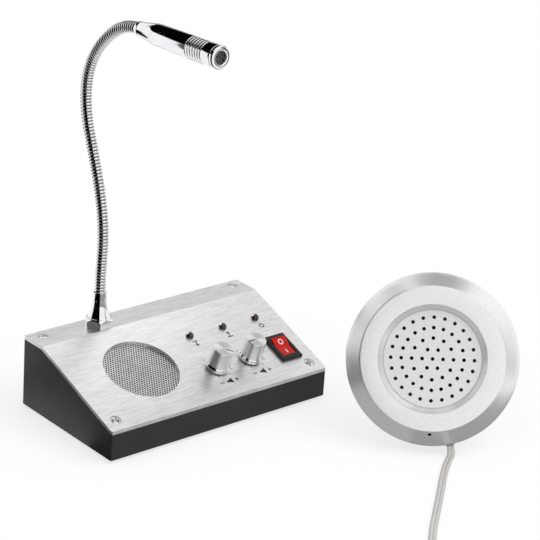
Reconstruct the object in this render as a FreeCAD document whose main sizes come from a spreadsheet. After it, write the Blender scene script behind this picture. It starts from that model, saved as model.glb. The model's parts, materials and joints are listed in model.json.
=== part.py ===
import FreeCAD, Part
import math
import os
import re
import Sketcher

# Teller window intercom: a wedge console with a gooseneck microphone on the clerk's side,
# and a round speaking unit with its lead for the customer's side.
# X runs along the console's front edge, Y towards its rear, Z up.
# The origin is the middle of the console's footprint on the counter.

SIZES = {
    # console body and its brushed top panel; slope is in degrees
    "width": 160.0,
    "depth": 88.4,
    "front_height": 20.3,
    "slope": 20.0,
    "shelf_depth": 18.5,
    "panel_thick": 2.0,
    "wall": 1.6,
    "floor_thick": 1.6,
    "corner_round": 1.2,
    # rubber feet
    "foot_radius": 5.0,
    "foot_height": 2.0,
    "foot_inset": 14.0,
    # panel screws: places on the slope and on the shelf, from the console's sides
    "front_screw_side": 7.8,
    "front_screw_up": 7.7,
    "rear_screw_side": 8.6,
    "rear_screw_inset": 6.8,
    "screw_radius": 1.45,
    "screw_length": 7.0,
    "head_radius": 3.0,
    "head_height": 1.6,
    "head_sink": 1.2,
    "boss_radius": 3.9,
    "front_boss_length": 11.0,
    "rib_thick": 2.4,
    # loudspeaker behind the perforated field
    "speaker_x": -32.8,
    "speaker_up": 38.4,
    "field_radius": 23.2,
    "mesh_thick": 0.8,
    "mesh_lap": 2.2,
    "mesh_hole": 1.3,
    "mesh_pitch": 4.6,
    "driver_radius": 25.4,
    "driver_depth": 20.0,
    "basket_wall": 1.0,
    "basket_skirt": 3.2,
    "basket_drop": 9.5,
    "magnet_radius": 14.0,
    "pole_radius": 5.9,
    "coil_slot": 1.0,
    "coil_wall": 0.4,
    "cone_gap": 0.4,
    "cone_thick": 0.6,
    "cone_set_back": 1.2,
    "cone_depth": 5.6,
    # light-emitting diodes, a little to the left of the control that each stands above
    "led_up": 52.3,
    "led_shift": 0.4,
    "led_radius": 2.45,
    "led_shoulder": 0.4,
    "led_flange": 0.45,
    "led_flange_thick": 1.0,
    # volume controls; angles are in degrees, clockwise from straight up the slope
    "knob_up": 24.0,
    "knob_in_x": 13.0,
    "knob_out_x": 38.2,
    "knob_in_angle": 135.0,
    "knob_out_angle": -90.0,
    "knob_height": 15.0,
    "knob_lift": 0.8,
    "knob_top_radius": 6.0,
    "knob_draft": 0.35,
    "skirt_radius": 7.75,
    "skirt_height": 2.6,
    "knob_recess_radius": 6.3,
    "knob_recess_height": 5.0,
    "mark_width": 1.2,
    "mark_depth": 1.1,
    "mark_length": 11.0,
    "shaft_radius": 3.0,
    "shaft_top": 11.2,
    "shaft_tail": 9.0,
    "bushing_radius": 3.45,
    "bushing_top": 3.8,
    "pot_radius": 8.3,
    "pot_depth": 9.5,
    "nut_across": 10.0,
    "nut_thick": 1.8,
    "turning_gap": 0.05,
    # rocker switch, from the console's right side; tilt is in degrees
    "switch_side": 16.5,
    "switch_up": 23.8,
    "bezel_width": 15.0,
    "bezel_length": 21.0,
    "bezel_height": 2.0,
    "bezel_round": 0.8,
    "switch_body_width": 12.8,
    "switch_body_length": 19.0,
    "switch_body_depth": 13.0,
    "rocker_opening_width": 10.4,
    "rocker_opening_length": 14.8,
    "rocker_well": 8.0,
    "rocker_side_gap": 0.2,
    "rocker_end_gap": 0.15,
    "rocker_tilt": 10.0,
    "rocker_waist": 1.1,
    "rocker_belly": 4.6,
    "pivot_height": 0.3,
    "pivot_radius": 0.9,
    "pivot_length": 0.8,
    "blade_width": 4.8,
    "blade_thick": 0.8,
    "blade_length": 7.0,
    "blade_spacing": 6.5,
    # circuit board, from the console's right side, and what it carries, from its left front corner
    "board_side": 26.0,
    "board_width": 50.0,
    "board_front": -30.0,
    "board_depth": 58.0,
    "board_thick": 1.6,
    "standoff_height": 4.0,
    "standoff_radius": 3.0,
    "board_hole_inset": 4.0,
    "board_screw_radius": 1.2,
    "board_head_radius": 2.4,
    "board_head_height": 1.4,
    "chip_x": 20.0,
    "chip_y": 44.0,
    "chip_width": 19.0,
    "chip_depth": 6.4,
    "chip_height": 3.6,
    "heat_sink_height": 9.0,
    "fin_thick": 1.2,
    "fin_pitch": 4.4,
    "capacitor_radius": 4.0,
    "capacitor_height": 9.0,
    "capacitor_x": 40.0,
    "capacitor_y": 48.0,
    "capacitor_pitch": 10.0,
    # sockets in the rear wall, from the console's right side
    "dc_socket_side": 22.0,
    "socket_spacing": 22.0,
    "socket_height": 15.0,
    "socket_length": 12.0,
    "socket_lip": 0.8,
    "dc_barrel_radius": 4.9,
    "dc_bore_radius": 3.15,
    "dc_pin_radius": 1.0,
    "jack_barrel_radius": 3.4,
    "jack_bore_radius": 1.8,
    "socket_flange": 1.4,
    "bore_depth": 10.5,
    # collar that carries the gooseneck
    "neck_x": -33.7,
    "neck_from_bend": 8.1,
    "hex_radius": 8.75,
    "hex_height": 5.0,
    "hex_round": 0.7,
    "collar_top": 67.0,
    "flare_radius": 6.6,
    "flare_end": 17.0,
    "flare_end_radius": 4.35,
    "collar_tip_radius": 3.95,
    "stud_radius": 4.8,
    "stud_length": 8.0,
    "washer_radius": 6.6,
    "washer_thick": 1.0,
    "lock_nut_radius": 6.6,
    "lock_nut_thick": 3.0,
    # gooseneck: equal lengths of hose, each with its own bend in degrees towards the clerk
    "hose_radius": 3.5,
    "hose_step": 24.6,
    "hose_insert": 9.0,
    "tongue_radius": 3.0,
    "tongue_tip_radius": 2.2,
    "tongue_length": 2.4,
    "cup_gap": 0.15,
    "cup_depth": 3.4,
    "rim_gap": 0.8,
    "bend_1": 3.7,
    "bend_2": -15.2,
    "bend_3": -9.1,
    "bend_4": -0.3,
    "bend_5": 23.0,
    "bend_6": 31.0,
    "bend_7": 21.4,
    "bend_8": 32.9,
    # microphone head
    "mic_length": 72.0,
    "mic_radius": 6.6,
    "mic_rear_radius": 4.3,
    "mic_rear_lip": 2.0,
    "mic_taper": 17.0,
    "mic_plug_length": 6.0,
    "mic_wall": 1.2,
    "mic_bore_length": 50.0,
    "groove_pitch": 2.15,
    "groove_width": 1.05,
    "groove_depth": 0.6,
    "front_band": 9.8,
    "ring_length": 2.6,
    "ring_opening": 3.8,
    "mic_mesh_thick": 0.5,
    "mic_mesh_hole": 0.55,
    "mic_mesh_pitch": 1.5,
    "capsule_radius": 4.85,
    "capsule_length": 5.2,
    # round speaking unit; angles are in degrees
    "disc_x": 104.33,
    "disc_y": -108.52,
    "disc_facing": -46.0,
    "disc_lean": 24.5,
    "disc_roll": 3.5,
    "disc_radius": 50.5,
    "rim_height": 13.5,
    "disc_thick": 21.5,
    "bevel_inner": 42.0,
    "well_outer": 31.2,
    "well_inner": 28.7,
    "well_depth": 3.0,
    "cover_wall": 2.0,
    "lip_thick": 0.8,
    "back_start": 1.0,
    "back_thick": 2.4,
    "back_gap": 0.2,
    "ledge_height": 5.0,
    "post_circle": 37.0,
    "post_radius": 3.4,
    "pad_inner": 30.0,
    "pad_outer": 46.0,
    "plate_thick": 1.2,
    "plate_gap": 0.3,
    "hole_radius": 1.1,
    "ring_step": 6.05,
    "window_driver_radius": 24.0,
    "window_driver_gap": 1.6,
    "window_basket_drop": 6.4,
    "window_magnet_radius": 12.0,
    "window_cone_depth": 2.9,
    "mic_port_circle": 43.7,
    "mic_port_radius": 1.0,
    "port_capsule_radius": 2.0,
    "port_capsule_length": 1.6,
    "port_gap": 0.6,
    # lead of the speaking unit
    "exit_angle": 13.8,
    "exit_height": 11.3,
    "grommet_radius": 2.7,
    "grommet_stand": 0.5,
    "cable_radius": 1.55,
    "lead_1_x": 86.2,
    "lead_1_y": -146.8,
    "lead_2_x": 73.4,
    "lead_2_y": -156.4,
    "lead_3_x": 51.2,
    "lead_3_y": -176.2,
    "lead_4_x": 14.4,
    "lead_4_y": -207.8,
    "lead_5_x": -3.0,
    "lead_5_y": -228.0,
    "lead_6_y": -246.0,
    "coil_x": -34.0,
    "coil_y": -262.0,
    "coil_turn_radius": 25.0,
    "coil_outer_turn": 29.4,
    "coil_band": 13.0,
    "coil_height": 7.0,
    "plug_boot_radius": 2.4,
    "plug_boot_length": 16.0,
    "plug_radius": 4.0,
    "plug_length": 18.0,
    "plug_pin_radius": 1.75,
    "plug_pin_length": 14.0,
    "plug_tail": 20.0,
    "plug_advance": 22.0,
}

# Grooves round the microphone, and screw posts in the back of the speaking unit.
GROOVE_COUNT = 7
POST_COUNT = 3

# Counts of holes on the rings of the speaking unit's plate, from the centre outwards.
PLATE_RINGS = (1, 6, 12, 20, 24)

# Stretches of the hose, one for each bend in the sizes.
HOSE_COUNT = 8

# Places that several pieces share, as expressions of the sizes.
FRONT = "(-depth / 2)"
REAR = "(depth / 2)"
SIDE = "(width / 2)"
BEND = "(depth / 2 - shelf_depth)"
TOP = "(front_height + (depth - shelf_depth) * tan(slope))"
FLOOR = "(foot_height + floor_thick)"
UNDER_SHELF = f"({TOP} - panel_thick)"
UNDER_BEND = f"({BEND} + panel_thick * tan(slope / 2))"
UNDER_FRONT = "(front_height - panel_thick / cos(slope))"
FRONT_SCREW_X = f"({SIDE} - front_screw_side)"
REAR_SCREW_X = f"({SIDE} - rear_screw_side)"
REAR_SCREW_Y = f"({REAR} - rear_screw_inset)"
SWITCH_X = f"({SIDE} - switch_side)"
DC_SOCKET_X = f"({SIDE} - dc_socket_side)"
PILOT = "(screw_radius + turning_gap)"
BOARD_TOP = f"({FLOOR} + standoff_height + board_thick)"
BOARD_LEFT = f"({SIDE} - board_side - board_width)"
NECK_Y = f"({BEND} + neck_from_bend)"
PLATE_TOP = "(disc_thick - well_depth - lip_thick)"
PLATE_UNDER = f"({PLATE_TOP} - plate_thick)"
BACK_TOP = "(back_start + back_thick)"
WELL_POCKET = "(well_outer + cover_wall)"

X = FreeCAD.Vector(1, 0, 0)
Y = FreeCAD.Vector(0, 1, 0)
Z = FreeCAD.Vector(0, 0, 1)
SIDES = (-1, 1)

doc = FreeCAD.newDocument("TellerIntercom")
sheet = doc.addObject("Spreadsheet::Sheet", "Sizes")
for row, (alias, number) in enumerate(SIZES.items(), start=1):
    sheet.set(f"A{row}", alias)
    sheet.set(f"B{row}", str(number))
    sheet.setAlias(f"B{row}", alias)
doc.recompute()

sub_parts = []


# ---------------------------------------------------------------- expressions and frames

def bound(text):
    """The expression with every size written as a cell of the sheet."""
    return re.sub(
        r"[a-z]\w*", lambda word: f"Sizes.{word[0]}" if word[0] in SIZES else word[0], str(text)
    )


def size(text):
    """The present value of an expression of sizes."""
    return float(sheet.evalExpression(bound(text)))


def at(x="0", y="0", z="0"):
    """A placement moved by three expressions."""
    return FreeCAD.Placement(FreeCAD.Vector(size(x), size(y), size(z)), FreeCAD.Rotation())


def turn(axis, angle):
    """A placement turned about an axis through the origin by an expression in degrees."""
    return FreeCAD.Placement(FreeCAD.Vector(), FreeCAD.Rotation(axis, size(angle)))


def on_slope(x="0", up="0", out="0"):
    """The panel's own frame: x along the front edge, y up the slope, z out of the panel."""
    return at("0", FRONT, "front_height") * turn(X, "slope") * at(x, up, out)


def on_disc(x="0", y="0", out="0"):
    """The speaking unit's frame: z out of its face, y towards its top, from its back."""
    height = "disc_radius * cos(disc_lean) - back_start * sin(disc_lean)"
    face = turn(Z, "disc_facing") * turn(X, "90 - disc_lean") * turn(Z, "disc_roll")
    return at("disc_x", "disc_y", height) * face * at(x, y, out)


# ---------------------------------------------------------------- sketches and features

def new_body(name):
    """An empty body."""
    return doc.addObject("PartDesign::Body", name)


def sketch_on(body, role, shift=None):
    """A sketch on one of the body's origin planes, moved by a placement in that plane's frame."""
    sketch = body.newObject("Sketcher::SketchObject", f"{body.Name}_sketch")
    plane = next(f for f in body.Origin.OriginFeatures if f.Role == role)
    sketch.AttachmentSupport = (plane, "")
    sketch.MapMode = "FlatFace"
    if shift is not None:
        sketch.AttachmentOffset = shift
    return sketch


def hold(sketch, kind, value, *where):
    """One dimension of a sketch, bound to an expression of sizes."""
    index = sketch.addConstraint(Sketcher.Constraint(kind, *where, size(value)))
    sketch.setExpression(f"Constraints[{index}]", bound(value))


def hold_point(sketch, geometry, point, x, y):
    """A point of a sketch held at two distances from the sketch's origin."""
    hold(sketch, "DistanceX", x, -1, 1, geometry, point)
    hold(sketch, "DistanceY", y, -1, 1, geometry, point)


def arc_between(here, there, radius, side):
    """The short arc from here to there; side is 1 with its centre on the left, -1 on the right."""
    middle = (here + there) * 0.5
    along = (there - here).normalize()
    left = FreeCAD.Vector(-along.y, along.x, 0) * side
    half = here.distanceToPoint(there) / 2
    centre = middle + left * math.sqrt(radius**2 - half**2)
    return Part.Arc(here, centre - left * radius, there)


def outline(sketch, corners):
    """A closed outline. A corner is (x, y), or (x, y, radius, side) where an arc starts."""
    spots = [FreeCAD.Vector(size(c[0]), size(c[1]), 0) for c in corners]
    first = sketch.GeometryCount
    count = len(corners)
    for i, corner in enumerate(corners):
        here = spots[i]
        there = spots[(i + 1) % count]
        if len(corner) == 4:
            sketch.addGeometry(arc_between(here, there, size(corner[2]), corner[3]), False)
        else:
            sketch.addGeometry(Part.LineSegment(here, there), False)
    starts = [1] * count
    ends = [2] * count
    for i, corner in enumerate(corners):
        if len(corner) == 4 and corner[3] < 0:
            starts[i], ends[i] = 2, 1
    for i, corner in enumerate(corners):
        following = (i + 1) % count
        joint = (first + i, ends[i], first + following, starts[following])
        sketch.addConstraint(Sketcher.Constraint("Coincident", *joint))
        hold_point(sketch, first + i, starts[i], corner[0], corner[1])
        if len(corner) == 4:
            hold(sketch, "Radius", corner[2], first + i)


def rectangle(sketch, x, y, wide, tall):
    """A rectangle by its centre and its two sizes."""
    outline(sketch, [
        (f"{x} - {wide} / 2", f"{y} - {tall} / 2"),
        (f"{x} + {wide} / 2", f"{y} - {tall} / 2"),
        (f"{x} + {wide} / 2", f"{y} + {tall} / 2"),
        (f"{x} - {wide} / 2", f"{y} + {tall} / 2"),
    ])


def circle(sketch, x, y, radius):
    """A circle by its centre and its radius."""
    shape = Part.Circle(FreeCAD.Vector(size(x), size(y), 0), Z, size(radius))
    index = sketch.addGeometry(shape, False)
    hold(sketch, "Radius", radius, index)
    hold_point(sketch, index, 3, x, y)


def extrude(kind, body, sketch, length, way):
    """A pad or a pocket. way is 1 along the sketch's normal, -1 against it, 0 to both sides."""
    feature = body.newObject(f"PartDesign::{kind}", f"{body.Name}_{kind.lower()}")
    feature.Profile = sketch
    feature.setExpression("Length", bound(length))
    feature.SideType = "One side" if way else "Symmetric"
    feature.Reversed = way == (-1 if kind == "Pad" else 1)
    body.Tip = feature
    return feature


def pad(body, sketch, length, way=1):
    """Material added from a sketch."""
    return extrude("Pad", body, sketch, length, way)


def pocket(body, sketch, length, way=-1):
    """Material taken away from a sketch."""
    return extrude("Pocket", body, sketch, length, way)


def spin(body, corners, kind="Revolution"):
    """A profile of (radius, height) corners turned about the body's Z axis."""
    sketch = sketch_on(body, "XZ_Plane")
    outline(sketch, corners)
    feature = body.newObject(f"PartDesign::{kind}", f"{body.Name}_{kind.lower()}")
    feature.Profile = sketch
    feature.ReferenceAxis = (sketch, ["V_Axis"])
    feature.Angle = 360
    body.Tip = feature
    return feature


def turned(name, corners):
    """A body made of one turned profile."""
    body = new_body(name)
    spin(body, corners)
    return body


def round_edges(body, radius, wanted):
    """Fillets on the edges that wanted(start, end) picks."""
    doc.recompute()
    names = []
    for i, edge in enumerate(body.Shape.Edges, start=1):
        ends = [v.Point for v in edge.Vertexes]
        if len(ends) == 2 and wanted(*ends):
            names.append(f"Edge{i}")
    base = body.Tip
    feature = body.newObject("PartDesign::Fillet", f"{body.Name}_fillet")
    feature.Base = (base, names)
    feature.setExpression("Radius", bound(radius))
    body.Tip = feature


def polygon(sides, radius, turned_by=0, x="0"):
    """Corners spread evenly on a circle whose centre lies at x, as expressions."""
    angles = [360 * i / sides + turned_by for i in range(sides)]
    return [(f"{x} + ({radius}) * cos({a})", f"({radius}) * sin({a})") for a in angles]


def ring_points(count, radius, start=0.0):
    """Points spread evenly round a circle, as numbers."""
    angles = [math.radians(start) + 2 * math.pi * i / count for i in range(count)]
    return [(radius * math.cos(a), radius * math.sin(a)) for a in angles]


# ---------------------------------------------------------------- finished sub-parts

def keep(item, label, place=None):
    """Names a sub-part, puts it in its place and lists it for export."""
    item.Label = label
    if place is not None:
        item.Placement = place
    sub_parts.append(item)
    return item


def group_copies(source, label, places):
    """One sub-part of several like solids, each a copy of the source at its own place."""
    doc.recompute()
    feature = doc.addObject("Part::Feature", label)
    copies = [source.Shape.transformed(place.toMatrix(), True) for place in places]
    feature.Shape = Part.makeCompound(copies)
    return keep(feature, label)


def pierced_sheet(label, radius, thick, hole, pitch, reach, place):
    """A round sheet with hexagonal holes in close rows over the circle of radius reach."""
    outer = Part.Wire([Part.makeCircle(size(radius))])
    cell = size(hole)
    step = size(pitch)
    rows = int(size(reach) / step) + 1
    holes = []
    for row in range(-rows, rows + 1):
        for column in range(-2 * rows, 2 * rows + 1):
            x = (column + 0.5 * (row % 2)) * step
            y = row * step * math.sqrt(3) / 2
            if math.hypot(x, y) + cell > size(reach):
                continue
            corners = [FreeCAD.Vector(x + a, y + b, 0) for a, b in ring_points(6, cell, 30)]
            holes.append(Part.makePolygon(corners + corners[:1]))
    sheet_face = Part.makeFace([outer] + holes, "Part::FaceMakerBullseye")
    feature = doc.addObject("Part::Feature", label)
    feature.Shape = sheet_face.extrude(FreeCAD.Vector(0, 0, size(thick)))
    return keep(feature, label, place)


# ---------------------------------------------------------------- console casing

def outer_corner(start, end):
    """True for an upright edge at one of the console's four corners."""
    upright = abs(start.x - end.x) < 1e-4 and abs(start.y - end.y) < 1e-4
    at_side = abs(abs(start.x) - size(SIDE)) < 1e-4
    at_end = abs(abs(start.y) - size(REAR)) < 1e-4
    return upright and at_side and at_end


def base_housing():
    """Folded sheet tray: floor, low front, high rear and two sloping sides."""
    body = new_body("base_housing")
    side = sketch_on(body, "YZ_Plane")
    outline(side, [
        (FRONT, "foot_height"),
        (REAR, "foot_height"),
        (REAR, UNDER_SHELF),
        (UNDER_BEND, UNDER_SHELF),
        (FRONT, UNDER_FRONT),
    ])
    pad(body, side, "width", 0)
    round_edges(body, "corner_round", outer_corner)
    cavity = sketch_on(body, "YZ_Plane")
    outline(cavity, [
        (f"{FRONT} + wall", FLOOR),
        (f"{REAR} - wall", FLOOR),
        (f"{REAR} - wall", f"{TOP} + wall"),
        (f"{FRONT} + wall", f"{TOP} + wall"),
    ])
    pocket(body, cavity, "width - 2 * wall", 0)
    for hand in SIDES:
        rear_boss(body, hand)
        front_boss(body, hand)
    board_standoffs(body)
    sockets = sketch_on(body, "XZ_Plane", at("0", "0", f"-{REAR}"))
    circle(sockets, DC_SOCKET_X, "socket_height", "dc_barrel_radius + turning_gap")
    jack_x = f"{DC_SOCKET_X} - socket_spacing"
    circle(sockets, jack_x, "socket_height", "jack_barrel_radius + turning_gap")
    pocket(body, sockets, "3 * wall", 0)
    return keep(body, "base_housing")


def rear_boss(body, hand):
    """Upright screw boss under the shelf, joined to the side wall by a rib."""
    floor = at("0", "0", FLOOR)
    height = f"{UNDER_SHELF} - {FLOOR}"
    x = f"({hand} * {REAR_SCREW_X})"
    post = sketch_on(body, "XY_Plane", floor)
    circle(post, x, REAR_SCREW_Y, "boss_radius")
    pad(body, post, height)
    rib = sketch_on(body, "XY_Plane", floor)
    middle = f"({hand} * ({SIDE} + {REAR_SCREW_X} - wall) / 2)"
    rectangle(rib, middle, REAR_SCREW_Y, "rear_screw_side", "rib_thick")
    pad(body, rib, height)
    pilot = sketch_on(body, "XY_Plane", at("0", "0", UNDER_SHELF))
    circle(pilot, x, REAR_SCREW_Y, PILOT)
    pocket(body, pilot, "screw_length")


def front_boss(body, hand):
    """Screw boss square to the slope, joined to the side wall by a rib."""
    under = on_slope("0", "0", "-panel_thick")
    x = f"({hand} * {FRONT_SCREW_X})"
    post = sketch_on(body, "XY_Plane", under)
    circle(post, x, "front_screw_up", "boss_radius")
    pad(body, post, "front_boss_length", -1)
    rib = sketch_on(body, "XY_Plane", under)
    middle = f"({hand} * ({SIDE} + {FRONT_SCREW_X} - wall) / 2)"
    rectangle(rib, middle, "front_screw_up", "front_screw_side", "rib_thick")
    pad(body, rib, "front_boss_length", -1)
    pilot = sketch_on(body, "XY_Plane", under)
    circle(pilot, x, "front_screw_up", PILOT)
    pocket(body, pilot, "screw_length")


def board_corners():
    """Centres of the four board screws, as expressions."""
    left = f"({BOARD_LEFT} + board_hole_inset)"
    right = f"({BOARD_LEFT} + board_width - board_hole_inset)"
    front = "(board_front + board_hole_inset)"
    back = "(board_front + board_depth - board_hole_inset)"
    return [(left, front), (right, front), (right, back), (left, back)]


def board_standoffs(body):
    """Four drilled posts that carry the circuit board."""
    posts = sketch_on(body, "XY_Plane", at("0", "0", FLOOR))
    for x, y in board_corners():
        circle(posts, x, y, "standoff_radius")
    pad(body, posts, "standoff_height")
    drilled = sketch_on(body, "XY_Plane", at("0", "0", f"{FLOOR} + standoff_height"))
    for x, y in board_corners():
        circle(drilled, x, y, "board_screw_radius + turning_gap")
    pocket(body, drilled, "standoff_height")


def top_panel():
    """Brushed sheet bent once: the sloping control field and the level shelf behind it."""
    body = new_body("top_panel")
    side = sketch_on(body, "YZ_Plane")
    outline(side, [
        (FRONT, "front_height"),
        (FRONT, UNDER_FRONT),
        (UNDER_BEND, UNDER_SHELF),
        (REAR, UNDER_SHELF),
        (REAR, TOP),
        (BEND, TOP),
    ])
    pad(body, side, "width", 0)
    round_edges(body, "corner_round", outer_corner)
    slope_holes = sketch_on(body, "XY_Plane", on_slope())
    circle(slope_holes, "speaker_x", "speaker_up", "field_radius")
    for x in ("knob_in_x", "knob_out_x", SWITCH_X):
        circle(slope_holes, f"{x} - led_shift", "led_up", "led_radius + turning_gap")
    for x in ("knob_in_x", "knob_out_x"):
        circle(slope_holes, x, "knob_up", "bushing_radius + turning_gap")
    across = "(switch_body_width + 2 * turning_gap)"
    along = "(switch_body_length + 2 * turning_gap)"
    rectangle(slope_holes, SWITCH_X, "switch_up", across, along)
    for hand in SIDES:
        circle(slope_holes, f"{hand} * {FRONT_SCREW_X}", "front_screw_up", PILOT)
    pocket(body, slope_holes, "4 * panel_thick", 0)
    shelf_holes = sketch_on(body, "XY_Plane", at("0", "0", TOP))
    circle(shelf_holes, "neck_x", NECK_Y, "stud_radius + turning_gap")
    for hand in SIDES:
        circle(shelf_holes, f"{hand} * {REAR_SCREW_X}", REAR_SCREW_Y, PILOT)
    pocket(body, shelf_holes, "4 * panel_thick", 0)
    slope_seats = sketch_on(body, "XY_Plane", on_slope())
    shelf_seats = sketch_on(body, "XY_Plane", at("0", "0", TOP))
    seat = "head_radius + 4 * turning_gap"
    for hand in SIDES:
        circle(slope_seats, f"{hand} * {FRONT_SCREW_X}", "front_screw_up", seat)
        circle(shelf_seats, f"{hand} * {REAR_SCREW_X}", REAR_SCREW_Y, seat)
    pocket(body, slope_seats, "head_sink")
    pocket(body, shelf_seats, "head_sink")
    return keep(body, "top_panel")


def screw(name, shank, length, head, tall):
    """A pan-head screw pointing down, its head's seat at height zero."""
    return turned(name, [
        ("0", f"-{length}"),
        (shank, f"-{length}"),
        (shank, "0"),
        (head, "0"),
        (head, tall),
        ("0", tall),
    ])


def panel_screws():
    """Four screws sunk into the top panel's corners."""
    source = screw("panel_screw", "screw_radius", "screw_length", "head_radius", "head_height")
    places = []
    for hand in SIDES:
        places.append(on_slope(f"{hand} * {FRONT_SCREW_X}", "front_screw_up", "-head_sink"))
        places.append(at(f"{hand} * {REAR_SCREW_X}", REAR_SCREW_Y, f"{TOP} - head_sink"))
    group_copies(source, "panel_screws", places)


def rubber_feet():
    """Four turned rubber feet under the floor of the housing."""
    source = turned("rubber_foot", [
        ("0", "0"),
        ("foot_radius * 0.85", "0"),
        ("foot_radius", "foot_height * 0.5"),
        ("foot_radius", "foot_height"),
        ("0", "foot_height"),
    ])
    x = f"({SIDE} - foot_inset)"
    y = f"({REAR} - foot_inset)"
    places = [at(f"{i} * {x}", f"{j} * {y}") for i in SIDES for j in SIDES]
    group_copies(source, "rubber_feet", places)


# ---------------------------------------------------------------- loudspeakers

def loudspeaker(prefix, radius, depth, drop, magnet, cone_depth, place):
    """A basket, a magnet and a moving cone; the rim's face lies at height zero."""
    rim = f"({radius} - 2 * basket_wall)"
    throat = f"({magnet} - basket_wall)"
    slot = "(pole_radius + coil_slot)"
    basket = turned(f"{prefix}_basket", [
        (radius, "0"),
        (f"{rim} - basket_wall", "0"),
        (f"{rim} - basket_wall", "-basket_skirt"),
        (throat, f"basket_wall - {drop}"),
        (slot, f"basket_wall - {drop}"),
        (slot, f"-{drop}"),
        (magnet, f"-{drop}"),
        (rim, "-basket_skirt - basket_wall"),
        (rim, "-basket_wall"),
        (radius, "-basket_wall"),
    ])
    keep(basket, f"{prefix}_basket", place)
    motor = turned(f"{prefix}_magnet", [
        ("0", f"-{depth}"),
        (magnet, f"-{depth}"),
        (magnet, f"-{drop}"),
        (slot, f"-{drop}"),
        (slot, f"-{drop} - 2 * coil_slot"),
        ("pole_radius", f"-{drop} - 2 * coil_slot"),
        ("pole_radius", f"basket_wall - {drop}"),
        ("0", f"basket_wall - {drop}"),
    ])
    keep(motor, f"{prefix}_magnet", place)
    edge = f"({rim} - basket_wall - cone_gap)"
    former = "(pole_radius + coil_slot / 2 + coil_wall / 2)"
    low = f"(-cone_set_back - {cone_depth})"
    cone = turned(f"{prefix}_cone", [
        (edge, "-cone_set_back"),
        (former, low),
        ("0", f"{low} + coil_wall"),
        ("0", f"{low} - cone_thick + coil_wall"),
        (f"{former} - coil_wall", f"{low} - cone_thick"),
        (f"{former} - coil_wall", f"-{drop} - coil_slot"),
        (former, f"-{drop} - coil_slot"),
        (former, f"{low} - cone_thick"),
        (edge, "-cone_set_back - cone_thick"),
    ])
    keep(cone, f"{prefix}_cone", place)


def console_speaker():
    """The perforated field and the driver that the clerk hears."""
    sheet_place = on_slope("speaker_x", "speaker_up", "-panel_thick - mesh_thick")
    pierced_sheet(
        "speaker_grille", "field_radius + mesh_lap", "mesh_thick",
        "mesh_hole", "mesh_pitch", "field_radius", sheet_place,
    )
    loudspeaker(
        "speaker", "driver_radius", "driver_depth", "basket_drop",
        "magnet_radius", "cone_depth", sheet_place,
    )


# ---------------------------------------------------------------- lights, knobs and switch

def led(label, x):
    """A domed diode pushed up through the panel to its flange, above the control at x."""
    flange = "(led_radius + led_flange)"
    body = turned(label, [
        ("0", "-panel_thick - led_flange_thick"),
        (flange, "-panel_thick - led_flange_thick"),
        (flange, "-panel_thick"),
        ("led_radius", "-panel_thick"),
        ("led_radius", "led_shoulder", "led_radius", 1),
        ("0", "led_shoulder + led_radius"),
    ])
    keep(body, label, on_slope(f"{x} - led_shift", "led_up"))


def volume_control(way, x, angle):
    """A turned knob on its shaft, with the potentiometer and the nut that holds it."""
    base = on_slope(x, "knob_up")
    knob = turned(f"volume_knob_{way}", [
        ("knob_recess_radius", "knob_lift"),
        ("skirt_radius", "knob_lift"),
        ("skirt_radius", "knob_lift + skirt_height"),
        ("knob_top_radius + 2 * knob_draft", "knob_lift + skirt_height + 2 * knob_draft"),
        ("knob_top_radius", "knob_height - knob_draft"),
        ("knob_top_radius - knob_draft", "knob_height"),
        ("0", "knob_height"),
        ("0", "shaft_top"),
        ("shaft_radius", "shaft_top"),
        ("shaft_radius", "knob_recess_height"),
        ("knob_recess_radius", "knob_recess_height"),
    ])
    mark = sketch_on(knob, "XY_Plane", at("0", "0", "knob_height"))
    middle = "(skirt_radius + knob_top_radius - mark_depth) / 2"
    rectangle(mark, "0", middle, "mark_width", "(skirt_radius - knob_top_radius + mark_depth)")
    pocket(knob, mark, "mark_length")
    keep(knob, f"volume_knob_{way}", base * turn(Z, f"-{angle}"))
    shaft = turned(f"volume_shaft_{way}", [
        ("0", "-shaft_tail"),
        ("shaft_radius", "-shaft_tail"),
        ("shaft_radius", "shaft_top"),
        ("0", "shaft_top"),
    ])
    keep(shaft, f"volume_shaft_{way}", base)
    bore = "(shaft_radius + turning_gap)"
    floor = "(-panel_thick - pot_depth)"
    pot = turned(f"potentiometer_{way}", [
        (bore, "bushing_top"),
        (bore, "-shaft_tail - 2 * turning_gap"),
        ("0", "-shaft_tail - 2 * turning_gap"),
        ("0", floor),
        ("pot_radius", floor),
        ("pot_radius", "-panel_thick"),
        ("bushing_radius", "-panel_thick"),
        ("bushing_radius", "bushing_top"),
    ])
    keep(pot, f"potentiometer_{way}", base)


def volume_nuts():
    """Hexagonal nuts that clamp both potentiometers, hidden under the knobs."""
    nut = new_body("volume_nut")
    face = sketch_on(nut, "XY_Plane")
    outline(face, polygon(6, "nut_across / 2 / cos(30)"))
    circle(face, "0", "0", "bushing_radius + turning_gap")
    pad(nut, face, "nut_thick")
    group_copies(nut, "volume_nuts", [on_slope(x, "knob_up") for x in ("knob_in_x", "knob_out_x")])


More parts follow.
